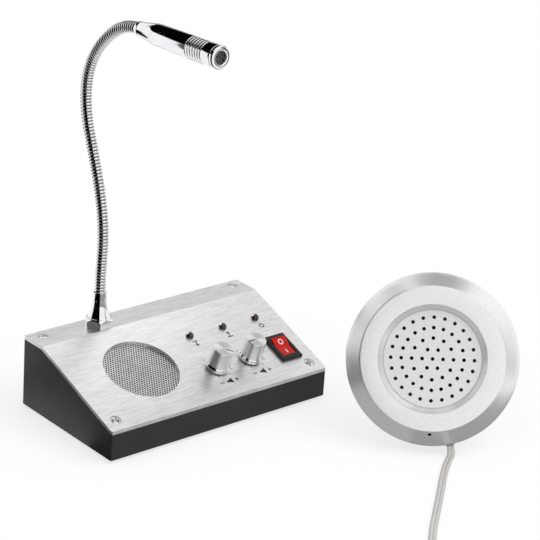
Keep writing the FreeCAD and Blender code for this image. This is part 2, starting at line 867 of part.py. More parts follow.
def switch_frame():
    """Snap-in switch case: a rounded bezel over a box with a well for the rocker."""
    body = new_body("switch_frame")
    bezel = sketch_on(body, "XY_Plane")
    rectangle(bezel, "0", "0", "bezel_width", "bezel_length")
    pad(body, bezel, "bezel_height")
    round_edges(body, "bezel_round", lambda a, b: min(a.z, b.z) > size("bezel_height") / 2)
    case = sketch_on(body, "XY_Plane")
    rectangle(case, "0", "0", "switch_body_width", "switch_body_length")
    pad(body, case, "switch_body_depth", -1)
    well = sketch_on(body, "XY_Plane", at("0", "0", "bezel_height"))
    rectangle(well, "0", "0", "rocker_opening_width", "rocker_opening_length")
    pocket(body, well, "bezel_height + rocker_well")
    bearing = sketch_on(body, "YZ_Plane")
    circle(bearing, "0", "pivot_height", "pivot_radius + turning_gap")
    pocket(body, bearing, "rocker_opening_width + 2 * (pivot_length + 2 * turning_gap)", 0)
    keep(body, "switch_frame", on_slope(SWITCH_X, "switch_up"))


def switch_rocker():
    """Translucent rocker with a shallow V top, round ends and two short pivots."""
    reach = "(rocker_opening_length / 2 - rocker_end_gap)"
    rise = f"(rocker_tilt + asin(rocker_waist * cos(rocker_tilt) / {reach}) / 1 deg)"
    fall = f"asin(rocker_belly / {reach})"
    body = new_body("switch_rocker")
    side = sketch_on(body, "YZ_Plane")
    outline(side, [
        ("0", "rocker_waist"),
        (f"-{reach} * cos({rise})", f"{reach} * sin({rise})", reach, 1),
        (f"-{reach} * cos({fall})", "-rocker_belly"),
        (f"{reach} * cos({fall})", "-rocker_belly", reach, 1),
        (f"{reach} * cos({rise})", f"{reach} * sin({rise})"),
    ])
    pad(body, side, "rocker_opening_width - 2 * rocker_side_gap", 0)
    pivot = sketch_on(body, "YZ_Plane")
    circle(pivot, "0", "0", "pivot_radius")
    pad(body, pivot, "rocker_opening_width + 2 * pivot_length", 0)
    place = on_slope(SWITCH_X, "switch_up", "pivot_height") * turn(X, "rocker_tilt")
    keep(body, "switch_rocker", place)


def switch_blades():
    """Two flat terminals out of the bottom of the switch."""
    blade = doc.addObject("Part::Box", "switch_blade")
    blade.setExpression("Length", bound("blade_width"))
    blade.setExpression("Width", bound("blade_thick"))
    blade.setExpression("Height", bound("blade_length"))
    low = "-switch_body_depth - blade_length"
    places = [
        on_slope(f"{SWITCH_X} - blade_width / 2", f"switch_up + {hand} * blade_spacing / 2", low)
        for hand in SIDES
    ]
    group_copies(blade, "switch_blades", places)


# ---------------------------------------------------------------- electronics and sockets

def on_board(x="0", y="0", out="0"):
    """The circuit board's own frame: from the left front corner of its upper face."""
    return at(BOARD_LEFT, "board_front", BOARD_TOP) * at(x, y, out)


def main_board():
    """Circuit board on its four standoffs."""
    body = new_body("main_board")
    face = sketch_on(body, "XY_Plane")
    middle_x = f"({BOARD_LEFT} + board_width / 2)"
    middle_y = "(board_front + board_depth / 2)"
    rectangle(face, middle_x, middle_y, "board_width", "board_depth")
    for x, y in board_corners():
        circle(face, x, y, "board_screw_radius + turning_gap")
    pad(body, face, "board_thick")
    keep(body, "main_board", at("0", "0", f"{FLOOR} + standoff_height"))


def board_screws():
    """Four small screws through the circuit board."""
    source = screw(
        "board_screw", "board_screw_radius", "(standoff_height + board_thick - 4 * turning_gap)",
        "board_head_radius", "board_head_height",
    )
    group_copies(source, "board_screws", [at(x, y, BOARD_TOP) for x, y in board_corners()])


def amplifier_chip():
    """Amplifier package on the board with its finned heat sink as a second piece."""
    chip = new_body("amplifier_chip")
    face = sketch_on(chip, "XY_Plane")
    rectangle(face, "0", "0", "chip_width", "chip_depth")
    pad(chip, face, "chip_height")
    keep(chip, "amplifier_chip", on_board("chip_x", "chip_y"))
    sink = new_body("heat_sink")
    plate = sketch_on(sink, "XY_Plane")
    rectangle(plate, "0", "0", "chip_width", "chip_depth")
    pad(sink, plate, "fin_thick")
    fins = sketch_on(sink, "XY_Plane")
    for i in (-2, -1, 0, 1, 2):
        rectangle(fins, f"({i} * fin_pitch)", "0", "fin_thick", "chip_depth")
    pad(sink, fins, "heat_sink_height")
    keep(sink, "heat_sink", on_board("chip_x", "chip_y", "chip_height"))


def capacitors():
    """Three upright smoothing capacitors."""
    can = turned("capacitor", [
        ("0", "0"),
        ("capacitor_radius", "0"),
        ("capacitor_radius", "capacitor_height"),
        ("0", "capacitor_height"),
    ])
    places = [on_board("capacitor_x", f"capacitor_y - {i} * capacitor_pitch") for i in range(3)]
    group_copies(can, "capacitors", places)


def socket(label, x, barrel, bore, pin):
    """A round socket through the rear wall; its mouth points backwards."""
    tail = "-(wall + socket_length)"
    end = "socket_lip - bore_depth"
    corners = [
        (bore, "socket_lip"),
        (bore, end),
        ("0", end),
        ("0", tail),
        (f"{barrel} + socket_flange", tail),
        (f"{barrel} + socket_flange", "-wall"),
        (barrel, "-wall"),
        (barrel, "socket_lip"),
    ]
    if pin:
        corners[2:3] = [(pin, end), (pin, "-wall"), ("0", "-wall")]
    place = at(x, REAR, "socket_height") * turn(X, "-90")
    keep(turned(label, corners), label, place)


# ---------------------------------------------------------------- gooseneck

def neck_collar():
    """Hexagonal foot, flared sleeve and the threaded stud that passes through the shelf."""
    body = new_body("neck_collar")
    foot = sketch_on(body, "XY_Plane")
    outline(foot, polygon(6, "hex_radius", 30))
    pad(body, foot, "hex_height")
    sleeve = f"(collar_top - {TOP})"
    spin(body, [
        ("hose_radius + turning_gap", sleeve),
        ("hose_radius + turning_gap", f"{sleeve} - hose_insert"),
        ("0", f"{sleeve} - hose_insert"),
        ("0", "-stud_length"),
        ("stud_radius", "-stud_length"),
        ("stud_radius", "hex_height - hex_round"),
        ("hex_radius * cos(30) - hex_round", "hex_height"),
        ("flare_radius", "hex_height + hex_round", "2 * flare_end", -1),
        ("flare_end_radius", "flare_end"),
        ("collar_tip_radius", sleeve),
    ])
    keep(body, "neck_collar", at("neck_x", NECK_Y, TOP))
    lock = at("neck_x", NECK_Y, UNDER_SHELF)
    washer = new_body("neck_washer")
    flat = sketch_on(washer, "XY_Plane")
    circle(flat, "0", "0", "washer_radius")
    circle(flat, "0", "0", "stud_radius + turning_gap")
    pad(washer, flat, "washer_thick", -1)
    keep(washer, "neck_washer", lock)
    nut = new_body("neck_lock_nut")
    flats = sketch_on(nut, "XY_Plane")
    outline(flats, polygon(6, "lock_nut_radius"))
    circle(flats, "0", "0", "stud_radius + turning_gap")
    pad(nut, flats, "lock_nut_thick", -1)
    keep(nut, "neck_lock_nut", lock * at("0", "0", "-washer_thick"))


def bent_rod(radius, length, bend):
    """A round rod from the origin along +Z that bends evenly towards -Y."""
    face = Part.Face(Part.Wire([Part.makeCircle(radius)]))
    if abs(bend) < 0.05:
        return face.extrude(FreeCAD.Vector(0, 0, length))
    centre = FreeCAD.Vector(0, -length / math.radians(bend), 0)
    return face.revolve(centre, X if bend > 0 else -X, abs(bend))


def rod_end(length, bend):
    """The placement at the far end of such a rod, with +Z along the rod."""
    if abs(bend) < 0.05:
        return FreeCAD.Placement(FreeCAD.Vector(0, 0, length), FreeCAD.Rotation())
    radius = length / math.radians(bend)
    angle = math.radians(bend)
    place = FreeCAD.Vector(0, radius * (math.cos(angle) - 1), radius * math.sin(angle))
    return FreeCAD.Placement(place, FreeCAD.Rotation(X, bend))


def hose_shape(bend, tongue, cup):
    """One stretch of hose: a tapered tongue where it starts, and a cup for the next tongue."""
    length = size("hose_step")
    outer = size("hose_radius")
    gap = size("rim_gap")
    start = gap if tongue else 0.0
    stop = length - gap if cup else length
    solid = bent_rod(outer, stop - start, bend * (stop - start) / length)
    solid.Placement = rod_end(start, bend * start / length)
    if tongue:
        core = Part.makeCylinder(size("tongue_radius"), 2 * gap)
        tip = Part.makeCone(size("tongue_tip_radius"), size("tongue_radius"), size("tongue_length"))
        tip.translate(-size("tongue_length") * Z)
        solid = solid.fuse([core, tip])
    else:
        solid = solid.fuse(Part.makeCylinder(outer, size("hose_insert"), -size("hose_insert") * Z, Z))
    if cup:
        depth = size("cup_depth")
        well = Part.makeCylinder(size("tongue_radius + cup_gap"), 2 * depth, -depth * Z, Z)
        well.Placement = rod_end(length, bend) * well.Placement
        solid = solid.cut(well)
    return solid.removeSplitter()


def gooseneck():
    """Eight stretches of hose, each tongue in the cup before it, from the collar to the head."""
    place = at("neck_x", NECK_Y, "collar_top")
    for i in range(HOSE_COUNT):
        bend = size(f"bend_{i + 1}")
        feature = doc.addObject("Part::Feature", f"neck_hose_{i + 1}")
        feature.Shape = hose_shape(bend, i > 0, i < HOSE_COUNT - 1)
        keep(feature, f"neck_hose_{i + 1}", place)
        place = place * rod_end(size("hose_step"), bend)
        if i < HOSE_COUNT - 1:
            print(f"hose pivot {i + 1}:", [round(v, 3) for v in place.Base], round(place.Rotation.Angle, 5))
    return place


def microphone(place):
    """The head at the end of the hose: grooved barrel, front ring, mesh and capsule."""
    front_bore = "(mic_radius - mic_wall)"
    seat = "(mic_length - ring_length)"
    barrel = turned("mic_barrel", [
        ("hose_radius", "0"),
        ("mic_rear_radius", "0"),
        ("mic_rear_radius", "mic_rear_lip"),
        ("mic_radius", "mic_taper"),
        ("mic_radius", seat),
        (front_bore, seat),
        (front_bore, "mic_length - mic_bore_length"),
        ("0", "mic_length - mic_bore_length"),
        ("0", "mic_plug_length"),
        ("hose_radius", "mic_plug_length"),
    ])
    first = "(mic_length - front_band)"
    for i in range(GROOVE_COUNT):
        middle = f"({first} - {i} * groove_pitch - groove_width / 2)"
        spin(barrel, [
            ("mic_radius - groove_depth", middle),
            ("mic_radius + groove_depth", f"{middle} - groove_width"),
            ("mic_radius + groove_depth", f"{middle} + groove_width"),
        ], "Groove")
    keep(barrel, "mic_barrel", place)
    ring = turned("mic_front_ring", [
        ("ring_opening", "mic_length"),
        ("ring_opening", f"{seat} + mic_mesh_thick"),
        (f"{front_bore} - turning_gap", f"{seat} + mic_mesh_thick"),
        (f"{front_bore} - turning_gap", seat),
        ("mic_radius", seat),
        ("mic_radius", "mic_length - ring_length / 4"),
        ("mic_radius - ring_length / 4", "mic_length"),
    ])
    keep(ring, "mic_front_ring", place)
    pierced_sheet(
        "mic_mesh", "mic_radius - mic_wall - 3 * turning_gap", "mic_mesh_thick",
        "mic_mesh_hole", "mic_mesh_pitch", "ring_opening", place * at("0", "0", seat),
    )
    capsule = turned("mic_capsule", [
        ("0", f"{seat} - capsule_length"),
        (f"{front_bore} - turning_gap", f"{seat} - capsule_length"),
        (f"{front_bore} - turning_gap", f"{seat} - capsule_length / 2"),
        ("capsule_radius", f"{seat} - capsule_length / 2"),
        ("capsule_radius", seat),
        ("0", seat),
    ])
    keep(capsule, "mic_capsule", place)


# ---------------------------------------------------------------- round speaking unit

def port_axis(out="0"):
    """The frame of the small microphone port in the bevel, at the bottom of the unit."""
    rise = "(disc_thick - rim_height)"
    run = "(disc_radius - bevel_inner)"
    height = f"(rim_height + {rise} * (disc_radius - mic_port_circle) / {run})"
    lean = f"atan({rise} / {run})"
    return on_disc("0", "-mic_port_circle", height) * turn(X, lean) * at("0", "0", out)


def outdoor_cover():
    """Front cover: rim, wide bevel, flat ring and the bevelled well round the plate."""
    rise = "(disc_thick - rim_height)"
    run = "(disc_radius - bevel_inner)"
    lean = f"atan({rise} / {run})"
    inner_rim = f"(rim_height - cover_wall * (1 - sin({lean})) / cos({lean}) )"
    inner_flat = f"(bevel_inner - cover_wall * tan({lean} / 2))"
    body = turned("cover_blank", [
        ("disc_radius", "back_start"),
        ("disc_radius", "rim_height"),
        ("bevel_inner", "disc_thick"),
        ("well_outer", "disc_thick"),
        ("well_inner", "disc_thick - well_depth"),
        ("well_inner", PLATE_TOP),
        (WELL_POCKET, PLATE_TOP),
        (WELL_POCKET, "disc_thick - cover_wall"),
        (inner_flat, "disc_thick - cover_wall"),
        ("disc_radius - cover_wall", inner_rim),
        ("disc_radius - cover_wall", "back_start"),
    ])
    doc.recompute()
    cut = doc.addObject("Part::Cut", "outdoor_cover")
    cut.Base = body
    cut.Tool = cover_drills()
    keep(cut, "outdoor_cover", on_disc())


def cover_drills():
    """The microphone port and the lead's hole, in the unit's own frame."""
    unit = on_disc().inverse()
    drills = doc.addObject("Part::MultiFuse", "cover_drills")
    port = doc.addObject("Part::Cylinder", "port_drill")
    port.setExpression("Radius", bound("mic_port_radius"))
    port.setExpression("Height", bound("3 * cover_wall"))
    port.Placement = unit * port_axis("-2 * cover_wall")
    lead = doc.addObject("Part::Cylinder", "lead_drill")
    lead.setExpression("Radius", bound("grommet_radius"))
    lead.setExpression("Height", bound("3 * cover_wall"))
    lead.Placement = unit * lead_exit("-2 * cover_wall")
    drills.Shapes = [port, lead]
    return drills


def outdoor_back():
    """Back cover: a flat plate inside the rim with a ledge and three screw posts."""
    edge = "(disc_radius - cover_wall - back_gap)"
    body = turned("outdoor_back", [
        ("0", "back_start"),
        (edge, "back_start"),
        (edge, f"{BACK_TOP} + ledge_height - back_thick"),
        (f"{edge} - back_thick / 2", f"{BACK_TOP} + ledge_height - back_thick"),
        (f"{edge} - back_thick / 2", BACK_TOP),
        ("0", BACK_TOP),
    ])
    posts = sketch_on(body, "XY_Plane", at("0", "0", BACK_TOP))
    drilled = sketch_on(body, "XY_Plane", at("0", "0", "back_start"))
    for x, y in post_spots():
        circle(posts, x, y, "post_radius")
    pad(body, posts, f"disc_thick - cover_wall - {BACK_TOP}")
    for x, y in post_spots():
        circle(drilled, x, y, PILOT)
    pocket(body, drilled, "screw_length + head_height", 1)
    seats = sketch_on(body, "XY_Plane", at("0", "0", "back_start"))
    for x, y in post_spots():
        circle(seats, x, y, "head_radius + 2 * turning_gap")
    pocket(body, seats, "head_height", 1)
    keep(body, "outdoor_back", on_disc())
    source = screw("back_screw", "screw_radius", "screw_length", "head_radius", "head_height")
    flip = turn(X, "180")
    places = [on_disc(x, y, "back_start + head_height") * flip for x, y in post_spots()]
    group_copies(source, "outdoor_screws", places)


def post_spots():
    """Centres of the back cover's posts, as expressions."""
    return polygon(POST_COUNT, "post_circle", 90)


def adhesive_ring():
    """Flat foam ring that holds the unit to the glass."""
    body = new_body("adhesive_ring")
    face = sketch_on(body, "XY_Plane")
    circle(face, "0", "0", "pad_outer")
    circle(face, "0", "0", "pad_inner")
    pad(body, face, "back_start")
    keep(body, "adhesive_ring", on_disc())


def outdoor_plate():
    """Speaker plate with its rings of holes, each drawn with eight flats."""
    body = new_body("outdoor_plate")
    face = sketch_on(body, "XY_Plane")
    circle(face, "0", "0", f"{WELL_POCKET} - plate_gap")
    pad(body, face, "plate_thick")
    axis = next(f for f in body.Origin.OriginFeatures if f.Role == "Z_Axis")
    for ring, count in enumerate(PLATE_RINGS):
        hole = sketch_on(body, "XY_Plane", at("0", "0", "plate_thick"))
        outline(hole, polygon(8, "hole_radius", 22.5, f"{ring} * ring_step"))
        drilled = pocket(body, hole, "2 * plate_thick")
        doc.recompute()
        if count > 1:
            pattern = body.newObject("PartDesign::PolarPattern", f"plate_ring_{ring}")
            pattern.Originals = [drilled]
            pattern.Axis = (axis, [""])
            pattern.Angle = 360
            pattern.Occurrences = count
            body.Tip = pattern
    keep(body, "outdoor_plate", on_disc("0", "0", PLATE_UNDER))


def outdoor_parts():
    """The driver behind the plate and the small microphone behind the port."""
    driver_depth = f"({PLATE_UNDER} - {BACK_TOP} - window_driver_gap)"
    loudspeaker(
        "outdoor_speaker", "window_driver_radius", driver_depth, "window_basket_drop",
        "window_magnet_radius", "window_cone_depth", on_disc("0", "0", PLATE_UNDER),
    )
    capsule = turned("outdoor_mic", [
        ("0", "-cover_wall - port_gap - port_capsule_length"),
        ("port_capsule_radius", "-cover_wall - port_gap - port_capsule_length"),
        ("port_capsule_radius", "-cover_wall - port_gap"),
        ("0", "-cover_wall - port_gap"),
    ])
    keep(capsule, "outdoor_mic", port_axis())


# ---------------------------------------------------------------- lead of the speaking unit

def lead_exit(out="0"):
    """The frame where the lead leaves the rim, with +Z straight out of it."""
    rim = on_disc("0", "0", "exit_height") * turn(Z, "exit_angle") * turn(X, "90")
    return rim * at("0", "0", "disc_radius") * at("0", "0", out)


def lead_route():
    """Corners of the lead's path: out of the rim, down to the counter and away to its coil."""
    start = lead_exit("grommet_stand")
    down = start.Rotation.multVec(Z)
    low = size("cable_radius")
    run = (low - start.Base.z) / down.z
    route = [start.Base, start.Base + down * run]
    for i in range(1, 6):
        route.append(FreeCAD.Vector(size(f"lead_{i}_x"), size(f"lead_{i}_y"), low))
    tangent = size("coil_x + coil_outer_turn")
    route.append(FreeCAD.Vector(tangent, size("lead_6_y"), low))
    route.append(FreeCAD.Vector(tangent, size("coil_y"), low))
    return route


def rounded_path(route):
    """Straight runs joined by tangent arcs, each as large as its two runs allow."""
    edges = []
    begin = route[0]
    radii = []
    for before, corner, after in zip(route, route[1:], route[2:]):
        back = (before - corner).normalize()
        ahead = (after - corner).normalize()
        half_turn = (math.pi - back.getAngle(ahead)) / 2
        cut = 0.45 * min(before.distanceToPoint(corner), after.distanceToPoint(corner))
        radius = cut / math.tan(half_turn)
        middle = (back + ahead).normalize() * (radius / math.cos(half_turn) - radius)
        edges.append(Part.makeLine(begin, corner + back * cut))
        edges.append(Part.Arc(corner + back * cut, corner + middle, corner + ahead * cut).toShape())
        begin = corner + ahead * cut
        radii.append(round(radius, 1))
    edges.append(Part.makeLine(begin, route[-1]))
    print("lead radii:", radii)
    return Part.Wire(edges)


def window_cable():
    """The lead: a grommet, the free stretch on the counter, the coil and its plug."""
    grommet = turned("cable_grommet", [
        ("cable_radius", "-cover_wall"),
        ("grommet_radius", "-cover_wall"),
        ("grommet_radius", "grommet_stand - turning_gap"),
        ("cable_radius", "grommet_stand - turning_gap"),
    ])
    keep(grommet, "cable_grommet", lead_exit())
    path = rounded_path(lead_route())
    start = lead_exit("grommet_stand")
    section = Part.Wire([Part.makeCircle(size("cable_radius"), start.Base, start.Rotation.multVec(Z))])
    tube = path.makePipeShell([section], True, False)
    expected = path.Length * math.pi * size("cable_radius") ** 2
    print("lead length", round(path.Length, 1), "volume ratio", round(tube.Volume / expected, 4))
    feature = doc.addObject("Part::Feature", "window_cable")
    feature.Shape = tube
    keep(feature, "window_cable")
    coil = turned("window_cable_coil", [
        ("coil_turn_radius - coil_band / 2", "0"),
        ("coil_turn_radius + coil_band / 2", "0"),
        ("coil_turn_radius + coil_band / 2", "coil_height"),
        ("coil_turn_radius - coil_band / 2", "coil_height"),
    ])
    keep(coil, "window_cable_coil", at("coil_x", "coil_y"))


def window_plug():
    """Jack plug on the lead's tail, which comes straight off the coil's outer turn."""
    collar = "(plug_boot_length + plug_length)"
    plug = turned("window_cable_plug", [
        ("0", "-plug_tail"),
        ("cable_radius", "-plug_tail"),
        ("cable_radius", "0"),
        ("plug_boot_radius", "0"),
        ("plug_boot_radius", "plug_boot_length / 2"),
        ("plug_radius", "plug_boot_length"),
        ("plug_radius", collar),
        ("plug_pin_radius", collar),
        ("plug_pin_radius", f"{collar} + plug_pin_length - plug_pin_radius"),
        ("plug_pin_radius / 3", f"{collar} + plug_pin_length"),
        ("0", f"{collar} + plug_pin_length"),
    ])
    place = at("coil_x - coil_outer_turn", "coil_y + plug_advance", "plug_radius") * turn(X, "-90")
    keep(plug, "window_cable_plug", place)


# ---------------------------------------------------------------- assembly and export

base_housing()
top_panel()
panel_screws()
rubber_feet()
console_speaker()
led("led_in", "knob_in_x")
led("led_out", "knob_out_x")
led("led_power", SWITCH_X)
volume_control("in", "knob_in_x", "knob_in_angle")
volume_control("out", "knob_out_x", "knob_out_angle")
volume_nuts()
switch_frame()
switch_rocker()
switch_blades()
main_board()
board_screws()
amplifier_chip()
capacitors()
socket("dc_socket", DC_SOCKET_X, "dc_barrel_radius", "dc_bore_radius", "dc_pin_radius")
socket("speaker_jack", f"{DC_SOCKET_X} - socket_spacing", "jack_barrel_radius", "jack_bore_radius", None)
neck_collar()
microphone(gooseneck())
outdoor_cover()
outdoor_back()
adhesive_ring()
outdoor_plate()
outdoor_parts()
window_cable()
window_plug()

doc.recompute()
failed = [item.Label for item in doc.Objects if {"Invalid", "Error"} & set(item.State)]
failed += [item.Label for item in sub_parts if item.Shape.isNull() or not item.Shape.isValid()]
if failed:
    raise SystemExit(f"these objects failed: {sorted(set(failed))}")

os.makedirs("parts", exist_ok=True)
for item in sub_parts:
    item.Shape.exportStep(f"parts/{item.Label}.step")
print(len(sub_parts), "sub-parts written")
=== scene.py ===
import json
import math

import bmesh
import bpy
import numpy as np
from mathutils import Matrix, Vector
from mathutils.geometry import delaunay_2d_cdt

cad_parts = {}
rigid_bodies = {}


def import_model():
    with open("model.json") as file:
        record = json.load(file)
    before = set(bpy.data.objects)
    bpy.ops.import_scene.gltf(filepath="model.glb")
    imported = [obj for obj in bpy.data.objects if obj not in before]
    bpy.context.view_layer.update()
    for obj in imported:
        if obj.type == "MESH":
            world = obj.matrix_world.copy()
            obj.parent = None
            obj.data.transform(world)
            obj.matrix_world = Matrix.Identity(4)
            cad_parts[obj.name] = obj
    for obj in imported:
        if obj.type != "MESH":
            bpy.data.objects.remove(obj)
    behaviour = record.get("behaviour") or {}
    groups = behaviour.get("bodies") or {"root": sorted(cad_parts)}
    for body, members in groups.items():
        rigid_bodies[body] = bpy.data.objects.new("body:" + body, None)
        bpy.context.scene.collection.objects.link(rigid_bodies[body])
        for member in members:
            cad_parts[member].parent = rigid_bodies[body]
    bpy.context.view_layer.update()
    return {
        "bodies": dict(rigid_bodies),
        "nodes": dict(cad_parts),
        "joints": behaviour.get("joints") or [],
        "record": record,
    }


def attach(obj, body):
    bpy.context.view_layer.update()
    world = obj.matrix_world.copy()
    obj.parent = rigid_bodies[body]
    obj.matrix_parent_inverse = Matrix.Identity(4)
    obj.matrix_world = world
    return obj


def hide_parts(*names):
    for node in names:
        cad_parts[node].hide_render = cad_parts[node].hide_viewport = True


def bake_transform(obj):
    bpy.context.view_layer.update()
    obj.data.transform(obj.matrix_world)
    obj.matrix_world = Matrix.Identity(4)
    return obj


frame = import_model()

# -------- camera, counter and light
# A desk-top studio: a long lens above the clerk's left shoulder, a white counter,
# two broad soft lamps and white walls all round.

scene = bpy.context.scene
scene.view_settings.view_transform = "Standard"

FOCAL_PIXELS, FRAME_PIXELS = 2307.85, 540
lens = bpy.data.cameras.new("desk_camera")
lens.sensor_width = 36.0
lens.lens = 36.0 * FOCAL_PIXELS / FRAME_PIXELS
lens.clip_start = 0.05
camera = bpy.data.objects.new("desk_camera", lens)
scene.collection.objects.link(camera)
aim = Matrix(((0.7661, 0.2019, -0.6102), (-0.6396, 0.3340, -0.6924), (0.0641, 0.9207, 0.3850)))
camera.matrix_world = Matrix.Translation((-0.7838, -0.9669, 0.6083)) @ aim.to_4x4()
scene.camera = camera


def add(tree, kind, links=(), **settings):
    """One new node: links gives its sockets a value or another node's output by name or number."""
    made = tree.nodes.new(kind)
    for name, value in settings.items():
        setattr(made, name, value)
    for socket, value in dict(links).items():
        if isinstance(value, bpy.types.NodeSocket):
            tree.links.new(value, made.inputs[socket])
        else:
            made.inputs[socket].default_value = value
    return made


def shade(code):
    """An sRGB hex colour as the linear colour that a shader takes."""
    parts = [int(code[i:i + 2], 16) / 255 for i in (1, 3, 5)]
    return (*(c / 12.92 if c <= 0.04045 else ((c + 0.055) / 1.055) ** 2.4 for c in parts), 1.0)


def seen_rays(tree):
    """1 for what the camera sees, also in a mirror or through glass, and 0 for what gives light."""
    ray = add(tree, "ShaderNodeLightPath")
    links = {0: ray.outputs["Is Camera Ray"], 1: ray.outputs["Is Glossy Ray"]}
    either = add(tree, "ShaderNodeMath", links, operation="MAXIMUM")
    links = {0: either.outputs[0], 1: ray.outputs["Is Transmission Ray"]}
    return add(tree, "ShaderNodeMath", links, operation="MAXIMUM")


world = bpy.data.worlds.new("white_studio")
scene.world = world
world.use_nodes = True
sky = world.node_tree
sky.nodes.clear()
seen = seen_rays(sky)
fill = add(sky, "ShaderNodeBackground", {"Color": (1, 1, 1, 1), "Strength": 0.62})
wall = add(sky, "ShaderNodeBackground", {"Color": (1, 1, 1, 1), "Strength": 1.0})
both = add(sky, "ShaderNodeMixShader", {0: seen.outputs[0], 1: fill.outputs[0], 2: wall.outputs[0]})
add(sky, "ShaderNodeOutputWorld", {"Surface": both.outputs[0]})


def lamp(name, strength, angle, direction):
    """A distant soft lamp that shines along a direction; mirrors show the walls instead of it."""
    light = bpy.data.lights.new(name, "SUN")
    light.energy = strength
    light.angle = math.radians(angle)
    holder = bpy.data.objects.new(name, light)
    holder.visible_glossy = False
    scene.collection.objects.link(holder)
    holder.rotation_euler = Vector(direction).to_track_quat("-Z", "Y").to_euler()
    return holder


lamp("soft_key", 1.1, 50, (-0.35, 0.45, -0.85))
lamp("side_fill", 0.35, 60, (0.8, 0.35, -0.5))


def new_finish(name, **values):
    """A new material: its node tree and its shader, whose sockets take the values given."""
    made = bpy.data.materials.new(name)
    made.use_nodes = True
    shader = made.node_tree.nodes["Principled BSDF"]
    for socket, value in values.items():
        shader.inputs[socket.replace("_", " ")].default_value = value
    return made, made.node_tree, shader


def drift(tree, shader, value, low, high, start=0.3, stop=0.7):
    """Lets the base colour drift between two hex colours as a value goes from start to stop."""
    tone = add(tree, "ShaderNodeValToRGB", {0: value})
    for end, (place, code) in zip(tone.color_ramp.elements, ((start, low), (stop, high))):
        end.position, end.color = place, shade(code)
    tree.links.new(tone.outputs[0], shader.inputs["Base Color"])
    return tone


def grained(name, colour, other, roughness, grain, depth, mottle=60.0, **values):
    """A finish whose colour drifts between two hex colours and whose skin has a fine grain in mm."""
    made, tree, shader = new_finish(name, Roughness=roughness, **values)
    place = add(tree, "ShaderNodeTexCoord").outputs["Object"]
    cloud = add(tree, "ShaderNodeTexNoise", {"Vector": place, "Scale": mottle, "Detail": 3.0})
    drift(tree, shader, cloud.outputs[0], colour, other)
    fine = add(tree, "ShaderNodeTexNoise", {"Vector": place, "Scale": 1000 / grain, "Detail": 2.0})
    links = {"Height": fine.outputs[0], "Strength": 0.35, "Distance": depth / 1000}
    skin = add(tree, "ShaderNodeBump", links)
    tree.links.new(skin.outputs[0], shader.inputs["Normal"])
    return made


def net(points, around=True):
    """Faces between neighbours of points[i, j]; around joins the last column to the first."""
    rows, columns = points.shape[:2]
    index = np.arange(rows * columns).reshape(rows, columns)
    if around:
        index = np.hstack([index, index[:, :1]])
    faces = np.stack([index[:-1, :-1], index[:-1, 1:], index[1:, 1:], index[1:, :-1]], -1)
    return points.reshape(-1, 3), faces.reshape(-1, 4).tolist()


def set_up(name, points, finish):
    """A piece of the stage out of points[i, j] in metres."""
    spots, faces = net(points, around=False)
    mesh = bpy.data.meshes.new(name)
    mesh.from_pydata(spots.tolist(), [], faces)
    mesh.materials.append(finish)
    made = bpy.data.objects.new(name, mesh)
    scene.collection.objects.link(made)
    return made


# Grey laminate on a light table: seen straight or in a mirror it glows, so it melts into the
# white walls and still keeps a soft shadow.
laminate, tree, shader = new_finish("light_table", Roughness=0.6, Specular_IOR_Level=0.0)
shader.inputs["Base Color"].default_value = shade("#999999")
glow = add(tree, "ShaderNodeMath", {0: seen_rays(tree).outputs[0], 1: 0.7}, operation="MULTIPLY")
shader.inputs["Emission Color"].default_value = (1, 1, 1, 1)
tree.links.new(glow.outputs[0], shader.inputs["Emission Strength"])
set_up("counter", np.array([[(-8, -8, 0), (8, -8, 0)], [(-8, 8, 0), (8, 8, 0)]], float), laminate)

